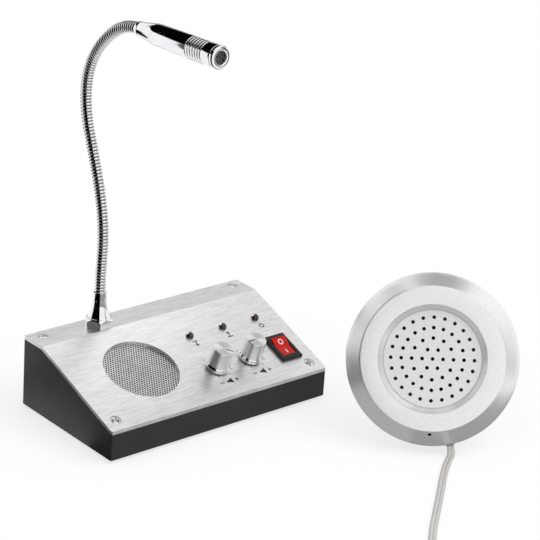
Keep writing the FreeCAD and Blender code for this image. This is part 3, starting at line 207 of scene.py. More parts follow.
# Cloths and cards, as a studio hangs them round bright metal: only reflections see them.
# Each is a patch of a ball round some point, between two azimuths and two elevations, or of
# the floor between two distances. The softbox keeps the brushed slope as pale as the walls.
for name, tone, power, eye, distance, azimuth, elevation in (
    ("cloth_beside_camera", "#040404", 1.0, (-0.034, 0.03, 0.0), (0.47, 0.47), (146, 238), (0.2, 72)),
    ("cloth_on_floor", "#040404", 1.0, (-0.034, 0.03, 0.0015), (0.07, 0.47), (146, 238), (0, 0)),
    ("cloth_near_front", "#aaaaaa", 1.0, (-0.034, 0.03, 0.001), (0.07, 0.19), (238, 372), (0, 0)),
    ("cloth_in_front", "#969696", 1.0, (-0.034, 0.03, 0.001), (0.19, 0.34), (238, 372), (0, 0)),
    ("cloth_over_microphone", "#040404", 1.0, (-0.034, -0.11, 0.215), (0.2, 0.2), (60, 125), (18, 62)),
    ("cloth_behind_hose", "#040404", 1.0, (-0.034, 0.0, 0.22), (0.2, 0.2), (80, 112), (-25, -3)),
    ("card_right_back", "#b4b4b4", 1.0, (0.0, 0.03, 0.05), (1.2, 1.2), (32, 64), (0, 34)),
    ("card_overhead", "#0a0a0a", 1.0, (0.104, -0.108, 0.045), (0.3, 0.3), (-6, 88), (57, 82)),
    ("card_high_right", "#dcdcdc", 1.0, (0.08, 0.0, 0.04), (0.25, 0.25), (2, 48), (34, 62)),
    ("softbox_high_right", "#ffffff", 1.2, (0.0, -0.01, 0.03), (0.9, 0.9), (4, 46), (35, 60)),
    ("card_right", "#101010", 1.0, (-0.034, 0.03, 0.0), (0.9, 0.9), (305, 313), (0, 50)),
):
    finish, tree, shader = new_finish(name, Roughness=1.0, Specular_IOR_Level=0.0, Emission_Strength=power)
    shader.inputs["Base Color"].default_value = shade("#000000")
    shader.inputs["Emission Color"].default_value = shade(tone)
    turn = np.radians(np.linspace(*azimuth, 24))[None]
    lift = np.radians(np.linspace(*elevation, 12))[:, None]
    far = np.linspace(*distance, 12)[:, None]
    level = far * np.cos(lift)
    patch = [level * np.cos(turn), level * np.sin(turn), far * np.sin(lift) + 0 * turn]
    cloth = set_up(name, np.stack(patch, -1) + np.array(eye), finish)
    cloth.visible_camera = cloth.visible_diffuse = cloth.visible_shadow = cloth.visible_transmission = False

# -------- lead of the speaking unit
# Clear twin cable, 4.4 by 2.2 mm, out of the round unit's rim, over the counter and into a
# tidy coil with its jack plug. Two stranded cores show through the soft sheath.

# Corners of the way it takes, in metres, and then the coil's turns: inwards on the counter,
# outwards on the second layer, inwards again on the third and out over the top.
lead_start = np.array((0.09294, -0.14060, 0.00592))
lead_way = [
    (0.09255, -0.14306, 0.0011), (0.0862, -0.1468, 0.0011), (0.0734, -0.1564, 0.0011),
    (0.0512, -0.1762, 0.0011), (0.0144, -0.2078, 0.0011), (-0.0030, -0.2280, 0.0011),
    (-0.0046, -0.2460, 0.0011),
]
turn_at = np.arange(0, 8.5 + 1e-9, 1 / 24)
turn_radius = np.interp(
    turn_at,
    [0.9, 1.1, 1.9, 2.1, 3.9, 4.1, 4.9, 5.1, 5.85, 6.15, 6.9, 7.1, 7.6, 8.4],
    [29.4, 25.0, 25.0, 20.6, 20.6, 25.0, 25.0, 29.4, 29.4, 25.0, 25.0, 20.6, 20.6, 29.4],
)
turn_height = np.interp(
    turn_at, [2.85, 3.15, 5.8, 6.05, 7.6, 7.95, 8.1, 8.5], [1.1, 3.3, 3.3, 5.5, 5.5, 7.8, 7.8, 4.6]
)
turn_angle = -2 * math.pi * turn_at
coil_x, coil_y = -34.0, -262.0
coil_points = np.stack([
    coil_x + turn_radius * np.cos(turn_angle),
    coil_y + turn_radius * np.sin(turn_angle),
    turn_height,
], 1) / 1000
tail_points = [(-0.0634, -0.2540, 0.0042), (-0.0634, -0.2440, 0.0040), (-0.0634, -0.2400, 0.0040)]
cable_points = np.vstack([lead_start, lead_way, coil_points, tail_points])

guide = bpy.data.curves.new("cable_guide", "CURVE")
guide.dimensions = "3D"
guide.resolution_u = 6
line = guide.splines.new("NURBS")
line.points.add(len(cable_points) - 1)
line.points.foreach_set("co", np.column_stack([cable_points, np.ones(len(cable_points))]).ravel())
line.order_u = 3
line.use_endpoint_u = True
guide_object = bpy.data.objects.new("cable_guide", guide)
scene.collection.objects.link(guide_object)
bpy.context.view_layer.update()
drawn = bpy.data.meshes.new_from_object(guide_object)
cable_line = np.array([v.co for v in drawn.vertices]) * 1000
bpy.data.meshes.remove(drawn)
bpy.data.objects.remove(guide_object)
bpy.data.curves.remove(guide)


def fan(ring, outwards=True):
    """A ring of points closed by triangles to its middle."""
    count = len(ring)
    middle = ring.mean(0)
    faces = [(i, (i + 1) % count, count) if outwards else ((i + 1) % count, i, count) for i in range(count)]
    return np.vstack([ring, middle]), faces


def piece(name, patches, finish, body, smooth=35, weld=0.002, outwards=True):
    """One object out of patches of points in millimetres and their faces, riding on a body."""
    points, faces, start = [], [], 0
    for spots, sides in patches:
        points.append(spots)
        faces += [[start + corner for corner in side] for side in sides]
        start += len(spots)
    mesh = bpy.data.meshes.new(name)
    mesh.from_pydata((np.vstack(points) / 1000).tolist(), [], faces)
    work = bmesh.new()
    work.from_mesh(mesh)
    bmesh.ops.remove_doubles(work, verts=work.verts, dist=weld / 1000)
    bmesh.ops.dissolve_degenerate(work, edges=work.edges, dist=1e-7)
    if outwards:
        bmesh.ops.recalc_face_normals(work, faces=work.faces)
    work.to_mesh(mesh)
    work.free()
    mesh.materials.append(finish)
    mesh.shade_smooth()
    mesh.set_sharp_from_angle(angle=math.radians(smooth))
    made = bpy.data.objects.new(name, mesh)
    scene.collection.objects.link(made)
    if body:
        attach(made, body)
    return made


def corners_of(made):
    """The vertex of each face corner of a piece."""
    index = np.zeros(len(made.data.loops), int)
    made.data.loops.foreach_get("vertex_index", index)
    return index


def spots_of(made):
    """The points of a piece in mm."""
    return np.array([v.co for v in made.data.vertices]) * 1000


def lay_map(made, name, uv):
    """A UV map out of one pair of coordinates for each face corner."""
    made.data.uv_layers.new(name=name).data.foreach_set("uv", uv.ravel())


# Each ring of the cable is two round lobes joined by a web, laid flat on the counter.
LOBE = 1.1
lobe = np.linspace(0, math.pi, 12)
lobe_x = LOBE + LOBE * np.cos(lobe)
lobe_y = np.where(lobe_x < LOBE, np.maximum(LOBE * np.sin(lobe), 0.5), LOBE * np.sin(lobe))
upper = np.vstack([np.column_stack([lobe_x, lobe_y]), np.column_stack([-lobe_x, lobe_y])[::-1][1:]])
section = np.vstack([upper, (upper * (1, -1))[::-1][1:-1]])
heading = np.gradient(cable_line, axis=0)
heading /= np.linalg.norm(heading, axis=1, keepdims=True)
side = np.cross(heading, (0, 0, 1))
side /= np.linalg.norm(side, axis=1, keepdims=True)
lift = np.cross(side, heading)
cable_rings = (
    cable_line[:, None]
    + side[:, None] * section[None, :, :1]
    + lift[:, None] * section[None, :, 1:]
)

# Clear PVC over tinned strands: glossy, milky at its edges and grey over the cores.
sheath, tree, shader = new_finish(
    "clear_sheath", Roughness=0.22, IOR=1.52, Transmission_Weight=0.25, Coat_Weight=0.35, Coat_Roughness=0.1
)
across_uv = add(tree, "ShaderNodeUVMap", uv_map="along_and_round")
split = add(tree, "ShaderNodeSeparateXYZ", {0: across_uv.outputs[0]})
strand = add(tree, "ShaderNodeMath", {0: split.outputs["Y"], 1: 0.9}, operation="MULTIPLY")
twist = add(tree, "ShaderNodeMath", {0: strand.outputs[0], 1: split.outputs["X"]}, operation="ADD")
wave = add(tree, "ShaderNodeMath", {0: twist.outputs[0], 1: 6.2832}, operation="MULTIPLY")
ridge = add(tree, "ShaderNodeMath", {0: wave.outputs[0]}, operation="SINE")
drift(tree, shader, ridge.outputs[0], "#d9d8d5", "#f1f0ee", 0.0, 1.0)
bump = add(tree, "ShaderNodeBump", {"Height": ridge.outputs[0], "Strength": 0.25, "Distance": 0.0001})
tree.links.new(bump.outputs[0], shader.inputs["Normal"])

cable = piece(
    "window_lead", [net(cable_rings), fan(cable_rings[0], False), fan(cable_rings[-1])], sheath, None,
    smooth=50, weld=0.0001,
)
run = np.concatenate([[0], np.cumsum(np.linalg.norm(np.diff(cable_line, axis=0), axis=1))])
spots = spots_of(cable)
nearest = np.concatenate([
    np.argmin(((chunk[:, None] - cable_line[None]) ** 2).sum(-1), 1) for chunk in np.array_split(spots, 40)
])
sideways = ((spots - cable_line[nearest]) * side[nearest]).sum(1)
strand_pitch, half_width = 1.4, 2.2
uv = np.column_stack([run[nearest] / strand_pitch, sideways / half_width])
lay_map(cable, "along_and_round", uv[corners_of(cable)])
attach(cable, "console")
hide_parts("window_cable", "window_cable_coil")


def lathe(profile, count=96, frame=None, spin=0.0):
    """Points of a profile of (radius, height) carried once round the Z axis of a frame."""
    profile = np.asarray(profile, float)
    angle = np.linspace(0, 2 * math.pi, count, endpoint=False) + spin
    points = np.stack([
        profile[:, :1] * np.cos(angle),
        profile[:, :1] * np.sin(angle),
        np.repeat(profile[:, 1:2], count, 1),
    ], -1)
    return points if frame is None else placed(points, frame)


def placed(points, frame):
    """Points of a piece's own frame, in millimetres, moved to where the frame stands."""
    return points @ frame[:3, :3].T + frame[:3, 3]


def eased(profile, steps=3):
    """The profile with each corner of (radius, height, rounding) turned into a small arc."""
    corners = [np.array(p[:2], float) for p in profile]
    made = [corners[0]]
    for i in range(1, len(profile) - 1):
        amount = profile[i][2] if len(profile[i]) > 2 else 0
        if not amount:
            made.append(corners[i])
            continue
        back, ahead = corners[i - 1] - corners[i], corners[i + 1] - corners[i]
        cut = min(amount, 0.45 * np.linalg.norm(back), 0.45 * np.linalg.norm(ahead))
        first = corners[i] + back / np.linalg.norm(back) * cut
        last = corners[i] + ahead / np.linalg.norm(ahead) * cut
        for t in np.linspace(0, 1, steps + 1):
            made.append((1 - t) ** 2 * first + 2 * t * (1 - t) * corners[i] + t ** 2 * last)
    made.append(corners[-1])
    return np.array(made)


def turned_to(origin, *turns):
    """A frame at an origin, turned by pairs of axis number and degrees, the last one first."""
    frame = np.eye(4)
    for axis, degrees in turns:
        c, s = math.cos(math.radians(degrees)), math.sin(math.radians(degrees))
        i, j = [(1, 2), (2, 0), (0, 1)][axis]
        step = np.eye(4)
        step[i, i] = step[j, j] = c
        step[i, j], step[j, i] = -s, s
        frame = frame @ step
    frame[:3, 3] = origin
    return frame


# The jack plug: a ribbed boot, a turned barrel and a pin with two insulating rings.
plug_profile = [(0, 0), (2.0, 0)]
for i in range(6):
    rib = 2.2 * i
    plug_profile += [(2.35, 0.5 + rib, 0.2), (2.35, 1.7 + rib, 0.2), (1.9, 1.9 + rib), (1.9, 2.4 + rib)]
plug_profile += [
    (2.4, 14.2, 0.4), (4.0, 16.2, 0.5), (4.0, 33.4, 0.6), (3.2, 34.0, 0.3), (1.75, 34.0), (1.75, 37.2),
    (1.62, 37.3), (1.62, 38.0), (1.75, 38.1), (1.75, 41.4), (1.62, 41.5), (1.62, 42.2), (1.75, 42.3),
    (1.75, 44.0, 0.2), (1.2, 44.9, 0.2), (1.75, 46.2, 0.4), (0.6, 48.0, 0.4), (0, 48.0),
]
plug_frame = turned_to((-63.4, -240.0, 4.0), (0, -90))
# Nickel plate, turned: bright with a faint yellow warmth.
nickel, tree, shader = new_finish("nickel_plate", Metallic=1.0, Roughness=0.2)
lathe_marks = add(tree, "ShaderNodeTexNoise", {
    "Vector": add(tree, "ShaderNodeMapping", {
        "Vector": add(tree, "ShaderNodeTexCoord").outputs["Object"], "Scale": (60, 4000, 60),
    }).outputs[0], "Scale": 1.0, "Detail": 2.0,
})
drift(tree, shader, lathe_marks.outputs[0], "#cfcabd", "#e0dcd1")
marks = {"Height": lathe_marks.outputs[0], "Strength": 0.1, "Distance": 0.00005}
tree.links.new(add(tree, "ShaderNodeBump", marks).outputs[0], shader.inputs["Normal"])
plug = piece("jack_plug", [net(lathe(eased(plug_profile), 48, plug_frame))], nickel, "console")
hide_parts("window_cable_plug")

# The grommet: a soft grey bush that grips the cable in the rim of the round unit.
# Moulded PVC, turned smooth, with a rounded nose.
rim_frame = turned_to((104.33, -108.52, 45.538), (2, -46), (0, 65.5), (2, 3.5))
exit_frame = rim_frame @ turned_to((0, 0, 11.3), (2, 13.8), (0, 90)) @ turned_to((0, 0, 50.5))
grommet_grey = grained("grommet_grey", "#87888a", "#97989a", 0.5, 0.5, 0.03, mottle=200)
grommet = piece("lead_grommet", [net(lathe(eased([
    (0.9, -2.0), (2.7, -2.0), (2.7, 0.45, 0.25), (1.4, 0.5, 0.15), (0.9, 0.0),
]), 40, exit_frame))], grommet_grey, "console")
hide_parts("cable_grommet")

# -------- housing of the console
# A folded steel wedge, sprayed with a satin charcoal powder coat, open at the top.
# The coat gives a fine orange-peel skin and a soft, slightly cloudy shine.

DEPTH, SHELF_DEPTH, FRONT_EDGE, TILT = 88.4, 18.5, 20.3, 20
SLOPE = turned_to((0, -DEPTH / 2, FRONT_EDGE), (0, TILT))
SHELF_Z = FRONT_EDGE + (DEPTH - SHELF_DEPTH) * math.tan(math.radians(TILT))


def dress(finish, *nodes):
    """Gives CAD nodes their finish."""
    for name in nodes:
        slots = frame["nodes"][name].data.materials
        slots.clear()
        slots.append(finish)


charcoal = grained("charcoal_powder_coat", "#2b2b2c", "#323233", 0.5, 0.7, 0.05)
dress(charcoal, "base_housing")

# Rubber feet: moulded, black and matt, with a dusty skin.
rubber = grained("foot_rubber", "#17171a", "#202023", 0.8, 0.4, 0.03)
dress(rubber, "rubber_feet")

# -------- brushed top panel
# 2 mm aluminium, bent once between slope and shelf, brushed along its width and anodised.
# Long scratches of every length give it pale and darker streaks and a stretched shine.

brushed, tree, shader = new_finish("brushed_aluminium", Metallic=0.9, Roughness=0.36)
place = add(tree, "ShaderNodeTexCoord").outputs["Object"]
coarse = add(tree, "ShaderNodeTexNoise", {
    "Vector": add(tree, "ShaderNodeMapping", {"Vector": place, "Scale": (55, 1100, 450)}).outputs[0],
    "Scale": 1.0, "Detail": 4.0, "Roughness": 0.7,
})
hairs = add(tree, "ShaderNodeTexNoise", {
    "Vector": add(tree, "ShaderNodeMapping", {"Vector": place, "Scale": (120, 3200, 1300)}).outputs[0],
    "Scale": 1.0, "Detail": 3.0, "Roughness": 0.6,
})
streak = add(tree, "ShaderNodeMix", {0: 0.5, 2: coarse.outputs[0], 3: hairs.outputs[0]})
drift(tree, shader, streak.outputs[0], "#d6d6d8", "#ffffff", 0.34, 0.56)
gloss = add(tree, "ShaderNodeMapRange", {0: hairs.outputs[0], 1: 0.3, 2: 0.7, 3: 0.28, 4: 0.46})
tree.links.new(gloss.outputs[0], shader.inputs["Roughness"])
scratch = add(tree, "ShaderNodeBump", {"Height": streak.outputs[0], "Strength": 0.3, "Distance": 0.00008})
tree.links.new(scratch.outputs[0], shader.inputs["Normal"])
dress(brushed, "top_panel")

# Panel screws: pan heads in bright zinc with a pressed cross recess.
# Each head is one domed surface whose recess is a soft cross cut into it.
screw_places = []
for hand in (-1, 1):
    screw_places.append(SLOPE @ turned_to((hand * 72.2, 7.7, -1.2), (2, 20 + 50 * hand)))
    screw_places.append(turned_to((hand * 71.4, 37.4, SHELF_Z - 1.2), (2, 35 - 30 * hand)))
reach = np.linspace(0, 1, 26)
head_r = 3.0 * np.sin(reach * math.pi / 2)
head_z = 1.6 - 0.75 * (1 - np.cos(reach * math.pi / 2))
head = lathe(np.column_stack([head_r, head_z]), 72)
arm = np.minimum(np.abs(head[..., 0]), np.abs(head[..., 1]))
far = np.hypot(head[..., 0], head[..., 1])
recess_depth = 0.95
cut = np.clip((0.62 - arm) / 0.3, 0, 1) * np.clip((1.75 - far) / 0.35, 0, 1)
head[..., 2] -= recess_depth * cut
wall_rows = lathe([(3.0, 0.85), (3.0, 0.0), (1.45, 0.0), (1.45, -7.0), (0, -7.0)], 72)
zinc = grained("bright_zinc", "#d6d6d8", "#efeff0", 0.14, 0.4, 0.01, mottle=500, Metallic=1.0)
screws = piece(
    "panel_screw_heads",
    [net(placed(np.concatenate([head, wall_rows]), spot)) for spot in screw_places],
    zinc, "console",
)
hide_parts("panel_screws")
dress(zinc, "board_screws", "outdoor_screws")

# -------- speaker behind the panel
# Perforated steel sheet behind the round opening, with the black paper cone under it.
# The sheet is one cell repeated on a staggered pitch: a hexagon with a round hole.

PITCH = 1.72
HOLE = 0.62
FIELD = 24.2
around = np.arange(12) * math.pi / 6
six = PITCH / 2 / np.cos((around + math.pi / 6) % (math.pi / 3) - math.pi / 6)
cell = np.stack([
    np.stack([r * np.cos(around), r * np.sin(around), np.full(12, z)], 1)
    for r, z in ((six, 0.0), (HOLE * 1.12, 0.0), (HOLE, -0.08), (HOLE, -0.22))
])
centres = []
for row in range(-16, 17):
    for column in range(-17, 18):
        x = (column + 0.5 * (row % 2)) * PITCH
        y = row * PITCH * math.sqrt(3) / 2
        if math.hypot(x, y) < FIELD:
            centres.append((x, y, 0.0))
cells, cell_faces = net(cell)
centres = np.array(centres)
sheet_points = (centres[:, None] + cells[None]).reshape(-1, 3)
sheet_faces = (
    np.array(cell_faces)[None] + np.arange(len(centres))[:, None, None] * len(cells)
).reshape(-1, 4).tolist()
sheet_frame = SLOPE @ turned_to((-32.8, 38.4, -2.0))
rim_ring = lathe([(23.9, -0.03), (25.4, -0.03), (25.4, -0.8), (23.9, -0.8), (23.9, -0.03)], 96, sheet_frame)
perforated, tree, shader = new_finish("perforated_steel", Metallic=0.95, Roughness=0.36)
place = add(tree, "ShaderNodeTexCoord").outputs["Object"]
dust = add(tree, "ShaderNodeTexNoise", {"Vector": place, "Scale": 220.0, "Detail": 3.0})
drift(tree, shader, dust.outputs[0], "#e0e0e2", "#fafafb")
grille = piece(
    "perforated_field", [(placed(sheet_points, sheet_frame), sheet_faces), net(rim_ring)],
    perforated, "console", outwards=False, weld=0.0005,
)
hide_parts("speaker_grille")

# Behind it: black pressed basket, grey ferrite magnet and the cone of black paper pulp.
basket_black = grained("basket_black", "#141415", "#1c1c1e", 0.55, 0.5, 0.03, mottle=120)
ferrite = grained("ferrite_grey", "#26272a", "#303236", 0.75, 0.9, 0.05, mottle=200)
paper = grained("cone_paper", "#0e0e0f", "#161617", 0.9, 0.35, 0.06, mottle=300)
dress(basket_black, "speaker_basket", "outdoor_speaker_basket")
dress(ferrite, "speaker_magnet", "outdoor_speaker_magnet")
dress(paper, "speaker_cone", "outdoor_speaker_cone")

# -------- lights
# Three 5 mm diodes with coloured epoxy lenses, two dark green and one dark red, unlit.
# Clear-coated resin over a dark body: a deep colour with one sharp highlight.

DOME = 2.45
lens_profile = eased(
    [(0, -3.0), (2.9, -3.0), (2.9, -2.0), (DOME, -2.0), (DOME, 0.4)]
    + [(DOME * math.cos(a), 0.4 + DOME * math.sin(a)) for a in np.linspace(0.12, math.pi / 2, 14)]
)
lenses = bpy.data.collections.new("lenses")
for name, x, deep, pale, slot_name in (
    ("in", 12.6, "#03150a", "#0a2a16", "led_green"),
    ("out", 37.8, "#03150a", "#0a2a16", "led_green"),
    ("power", 63.1, "#1a0306", "#34080e", "led_red"),
):
    resin, tree, shader = new_finish(
        f"epoxy_{name}", Roughness=0.08, IOR=1.5, Coat_Weight=1.0, Coat_Roughness=0.03,
    )
    place = add(tree, "ShaderNodeTexCoord").outputs["Object"]
    swirl = add(tree, "ShaderNodeTexNoise", {"Vector": place, "Scale": 300.0, "Detail": 1.0})
    drift(tree, shader, swirl.outputs[0], deep, pale)
    lens_frame = SLOPE @ turned_to((x, 52.3, 0))
    lens_piece = piece(f"lens_{name}", [net(lathe(lens_profile, 48, lens_frame))], resin, "console")
    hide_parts(f"led_{name}")
    lenses.objects.link(lens_piece)
# A broad lamp behind them, on the left, gives each lens its glint; it shines on nothing else.
glint = lamp("lens_glint", 5.0, 44, (0.184, -0.805, -0.556))
glint.visible_glossy = True
glint.light_linking.receiver_collection = lenses

# -------- volume knobs
# Two solid knobs turned from aluminium: a flat spun top, a plain wall and a bright skirt.
# A pointer line marks the groove: black across the top as a painted reflection, and white down the wall as
# a painted highlight.

KNOB_X, KNOB_UP = (13.0, 38.2), 24.0
knob_profile = eased([
    (3.0, 11.2), (3.0, 5.0), (6.3, 5.0), (6.3, 0.8), (7.4, 0.8, 0.3), (7.75, 1.5, 0.5),
    (7.45, 2.9, 0.8), (6.75, 3.75, 0.3), (6.7, 4.3, 0.2), (6.05, 14.6, 0.1), (5.7, 15.0, 0.15),
    (3.0, 14.94), (0.4, 14.94), (0, 14.9),
])
top_line = np.array([(1.2, 14.98), (3.5, 15.0), (5.6, 15.04), (5.98, 14.87)])
wall_line = np.array([(5.98, 14.87), (6.12, 14.55), (6.3, 12.0), (6.48, 9.0), (6.66, 6.0), (6.78, 4.25)])
# Turned aluminium: the tool leaves fine rings, so each glint is drawn out across them. The
# UV map runs along the profile and round it, which gives the shine its direction.
spun, tree, shader = new_finish("spun_aluminium", Metallic=1.0, Roughness=0.34, Anisotropic=0.85)
turned = add(tree, "ShaderNodeUVMap", uv_map="profile_and_turn")
fine = add(tree, "ShaderNodeTexNoise", {
    "Vector": add(tree, "ShaderNodeMapping", {"Vector": turned.outputs[0], "Scale": (9, 14, 1)}).outputs[0],
    "Scale": 1.0, "Detail": 3.0,
})
drift(tree, shader, fine.outputs[0], "#dcdcde", "#fbfbfc")
# The skirt, which comes first along the profile, is polished and mirrors sharply.
polish = add(tree, "ShaderNodeSeparateXYZ", {0: turned.outputs[0]})
satin = add(tree, "ShaderNodeMapRange", {0: polish.outputs[0], 1: -3.1, 2: -2.6, 3: 0.1, 4: 0.34})
tree.links.new(satin.outputs[0], shader.inputs["Roughness"])
grain_way = add(tree, "ShaderNodeTangent", direction_type="UV_MAP", uv_map="profile_and_turn")
tree.links.new(grain_way.outputs[0], shader.inputs["Tangent"])
# Screen inks, black and white, both faintly uneven in their cover. On the knobs the black is the pointer
# groove's painted reflection and the white is its painted highlight.
black_ink_and_painted_reflection = grained("black_ink_and_painted_reflection", "#0f0f10", "#1b1b1c", 0.5, 0.2, 0.01, mottle=700)
white_ink_and_painted_highlight = grained("white_ink_and_painted_highlight", "#eadada", "#f8f0f0", 0.5, 0.2, 0.01, mottle=700)
for way, x, angle in zip(("in", "out"), KNOB_X, (135.0, -90.0)):
    knob_frame = SLOPE @ turned_to((x, KNOB_UP, 0), (2, -angle))
    knob = piece(f"knob_{way}", [net(lathe(knob_profile, 112, knob_frame))], spun, f"volume_{way}")
    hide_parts(f"volume_knob_{way}")
    sides = np.zeros(len(knob.data.polygons), int)
    knob.data.polygons.foreach_get("loop_total", sides)
    own = (spots_of(knob) - knob_frame[:3, 3]) @ knob_frame[:3, :3]
    own = own[corners_of(knob)]
    middles = np.repeat(np.add.reduceat(own, np.cumsum(sides) - sides) / sides[:, None], sides, 0)
    middle_turn = np.arctan2(middles[:, 1], middles[:, 0])
    off = np.arctan2(own[:, 1], own[:, 0]) - middle_turn
    out = np.hypot(own[:, 0], own[:, 1])
    off = np.where(out < 0.01, 0, (off + math.pi) % (2 * math.pi) - math.pi)
    uv = np.column_stack([own[:, 2] - out, (middle_turn + off) / (2 * math.pi)])
    lay_map(knob, "profile_and_turn", uv)
    # The pointer groove is not cut: its top strip is painted black as a reflection, and its wall strip is
    # painted white as a highlight.
    for part_name, rows, line_light_paint in (("top", top_line, black_ink_and_painted_reflection), ("wall", wall_line, white_ink_and_painted_highlight)):
        line_points = np.stack([
            np.column_stack([np.full(len(rows), w), rows[:, 0], rows[:, 1]]) for w in (0.33, -0.33)
        ], 1)
        piece(
            f"knob_line_{part_name}_{way}", [net(placed(line_points, knob_frame), around=False)], line_light_paint,
            f"volume_{way}", outwards=False,
        )

# Shafts and nuts of turned brass; the cans below the panel and the neck's nut are plated steel.
brass = grained("turned_brass","#a98f52", "#bda468", 0.35, 0.5, 0.02, mottle=200, Metallic=1.0)
plated = grained("plated_steel", "#8f9092", "#a3a4a6", 0.4, 0.5, 0.02, mottle=150, Metallic=1.0)
dress(brass, "volume_shaft_in", "volume_shaft_out", "volume_nuts")
dress(plated, "potentiometer_in", "potentiometer_out", "neck_washer", "neck_lock_nut")

# -------- rocker switch
# A snap-in switch: black moulded case and bezel, and a red translucent rocker with a
# shallow V top, marked with a white ring and a white bar, which is the pressed end. Its blades
# are tinned brass.

moulded_black =grained("moulded_black", "#09090a", "#101011", 0.5, 0.5, 0.03, mottle=150)
dress(moulded_black, "switch_frame", "dc_socket", "speaker_jack")
tinned = grained("tinned_brass", "#b3ab93", "#c6bfa8", 0.35, 0.4, 0.02, Metallic=1.0)
dress(tinned, "switch_blades")

# Radius of its bowed ends and height of its valley in mm, and its lean at rest in degrees.
BOW, VALLEY, LEAN = 7.25, 1.1, 10
rocker_frame = SLOPE @ turned_to((63.5, 23.8, 0.3), (0, LEAN))
rise = math.radians(LEAN) + math.asin(VALLEY * math.cos(math.radians(LEAN)) / BOW)
fall = math.asin(4.6 / BOW)
tip_y, tip_z = BOW * math.cos(rise), BOW * math.sin(rise)
bow = np.linspace(rise, -fall, 10)[1:]
face_y = np.linspace(1.2, tip_y - 0.35, 6)
right_half = np.vstack([
    [(0.0, 1.12), (0.6, 1.16)],
    np.column_stack([face_y, VALLEY + face_y * (tip_z - VALLEY) / tip_y]),
    [(tip_y - 0.12, tip_z - 0.03), (tip_y - 0.01, tip_z - 0.12)],
    np.column_stack([BOW * np.cos(bow), BOW * np.sin(bow)]),
])
left_half = (right_half * (-1, 1))[::-1]
outline = np.vstack([right_half, left_half[:-1]])
centre_yz = np.array([0.0, -1.0])
slabs = []
for x, inset in (
    (-5.0, 0.32), (-4.96, 0.14), (-4.86, 0.04), (-4.7, 0.0),
    (4.7, 0.0), (4.86, 0.04), (4.96, 0.14), (5.0, 0.32),
):
    spread = outline - centre_yz
    shrunk = centre_yz + spread * (1 - inset / np.linalg.norm(spread, axis=1, keepdims=True))
    slabs.append(np.column_stack([np.full(len(outline), x), shrunk]))
slabs = placed(np.array(slabs), rocker_frame)
# Red polycarbonate: glossy, light goes a little way in, and its edges glow.
red_clear, tree, shader = new_finish(
    "red_polycarbonate", Roughness=0.25, Specular_IOR_Level=0.2,
    Subsurface_Weight=0.2, Subsurface_Scale=0.002,
)
place = add(tree, "ShaderNodeTexCoord").outputs["Object"]
depth_noise = add(tree, "ShaderNodeTexNoise", {"Vector": place, "Scale": 160.0, "Detail": 2.0})
drift(tree, shader, depth_noise.outputs[0], "#b40c0b", "#d21a15")
rocker = piece(
    "red_rocker", [net(slabs), fan(slabs[0], False), fan(slabs[-1])], red_clear, "rocker", smooth=40,
)
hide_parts("switch_rocker")

# Pad-printed ring and bar, white, on the two faces of the rocker.
climb = math.degrees(math.atan2(tip_z - VALLEY, tip_y))
far_face = rocker_frame @ turned_to((0, 0, VALLEY), (0, climb)) @ turned_to((0, 3.55, 0.03))
near_face = rocker_frame @ turned_to((0, 0, VALLEY), (0, -climb)) @ turned_to((0, -3.7, 0.03))
ring_print = lathe([(1.85, 0), (1.2, 0)], 48, far_face)
bar_print = placed(
    np.array([[(-0.34, -1.5, 0), (0.34, -1.5, 0)], [(-0.34, 1.5, 0), (0.34, 1.5, 0)]]), near_face,
)
piece("rocker_print", [net(ring_print), net(bar_print, around=False)], white_ink_and_painted_highlight, "rocker", outwards=False)

# -------- print on the panel
# Black screen print, a few hundredths thick: marks for the two directions of talk and for
# power under the lights, a tick ring round each knob, and minus, loudspeaker and plus below.


INK = 0.02


def flat_shape(corners, x, up):
    """A flat many-sided patch of the panel's print, its corners in mm round a centre."""
    points = np.array([(x + a, up + b, INK) for a, b in corners], float)
    return placed(points, SLOPE), [tuple(range(len(corners)))]


def box_shape(x, up, wide, tall):
    """A flat rectangle of print."""
    a, b = wide / 2, tall / 2
    return flat_shape([(-a, -b), (a, -b), (a, b), (-a, b)], x, up)


prints = []
# Arrows towards the clerk and towards the customer, then the power sign.
arrow_up = 45.6
for x, way in ((13.1, -1), (37.9, 1)):
    prints.append(box_shape(x, arrow_up, 0.8, 2.4))
    prints.append(flat_shape([(way * -1.4, 0), (way * 1.4, 0), (0, way * 1.6)], x, arrow_up + way * 0.9))
    prints.append(box_shape(x, arrow_up - way * 1.9, 3.8, 0.7))
turn = np.radians(np.linspace(120, 420, 28))
arc = [(63.2 + r * np.cos(turn), 45.4 + r * np.sin(turn), np.full(28, INK)) for r in (1.2, 1.85)]
prints.append(net(placed(np.moveaxis(np.array(arc), 1, 2), SLOPE), around=False))
prints.append(box_shape(63.2, 46.5, 0.65, 2.0))
# Ticks round each knob, and minus, plus and loudspeaker under it.
for x in KNOB_X:
    for turn_by in np.linspace(-150, 150, 11):
        a = math.radians(90 - turn_by)
        across = np.array([-math.sin(a), math.cos(a)]) * 0.2
        inner, outer = (np.array([math.cos(a), math.sin(a)]) * r for r in (8.3, 9.5))
        tick = [inner - across, outer - across, outer + across, inner + across]
        prints.append(flat_shape(tick, x, KNOB_UP))
sign_up = 11.2
for x in (13.4, 38.6):
    for across, up, wide, tall in (
        (-5.5, 0, 2.9, 0.6), (5.3, 0, 2.7, 0.6), (5.3, 0.825, 0.6, 1.05), (5.3, -0.825, 0.6, 1.05),
        (-1.35, 0, 1.3, 1.5),
    ):
        prints.append(box_shape(x + across, sign_up + up, wide, tall))
    prints.append(flat_shape([(-0.7, -0.75), (2.1, -2.1), (2.1, 2.1), (-0.7, 0.75)], x, sign_up))
piece("panel_print", prints, black_ink_and_painted_reflection, "console", outwards=False, weld=0.0001)

# -------- inside the console
# Circuit board with its green solder mask, the amplifier chip under an extruded sink,
# three sleeved capacitors, and the two sockets in the rear wall.

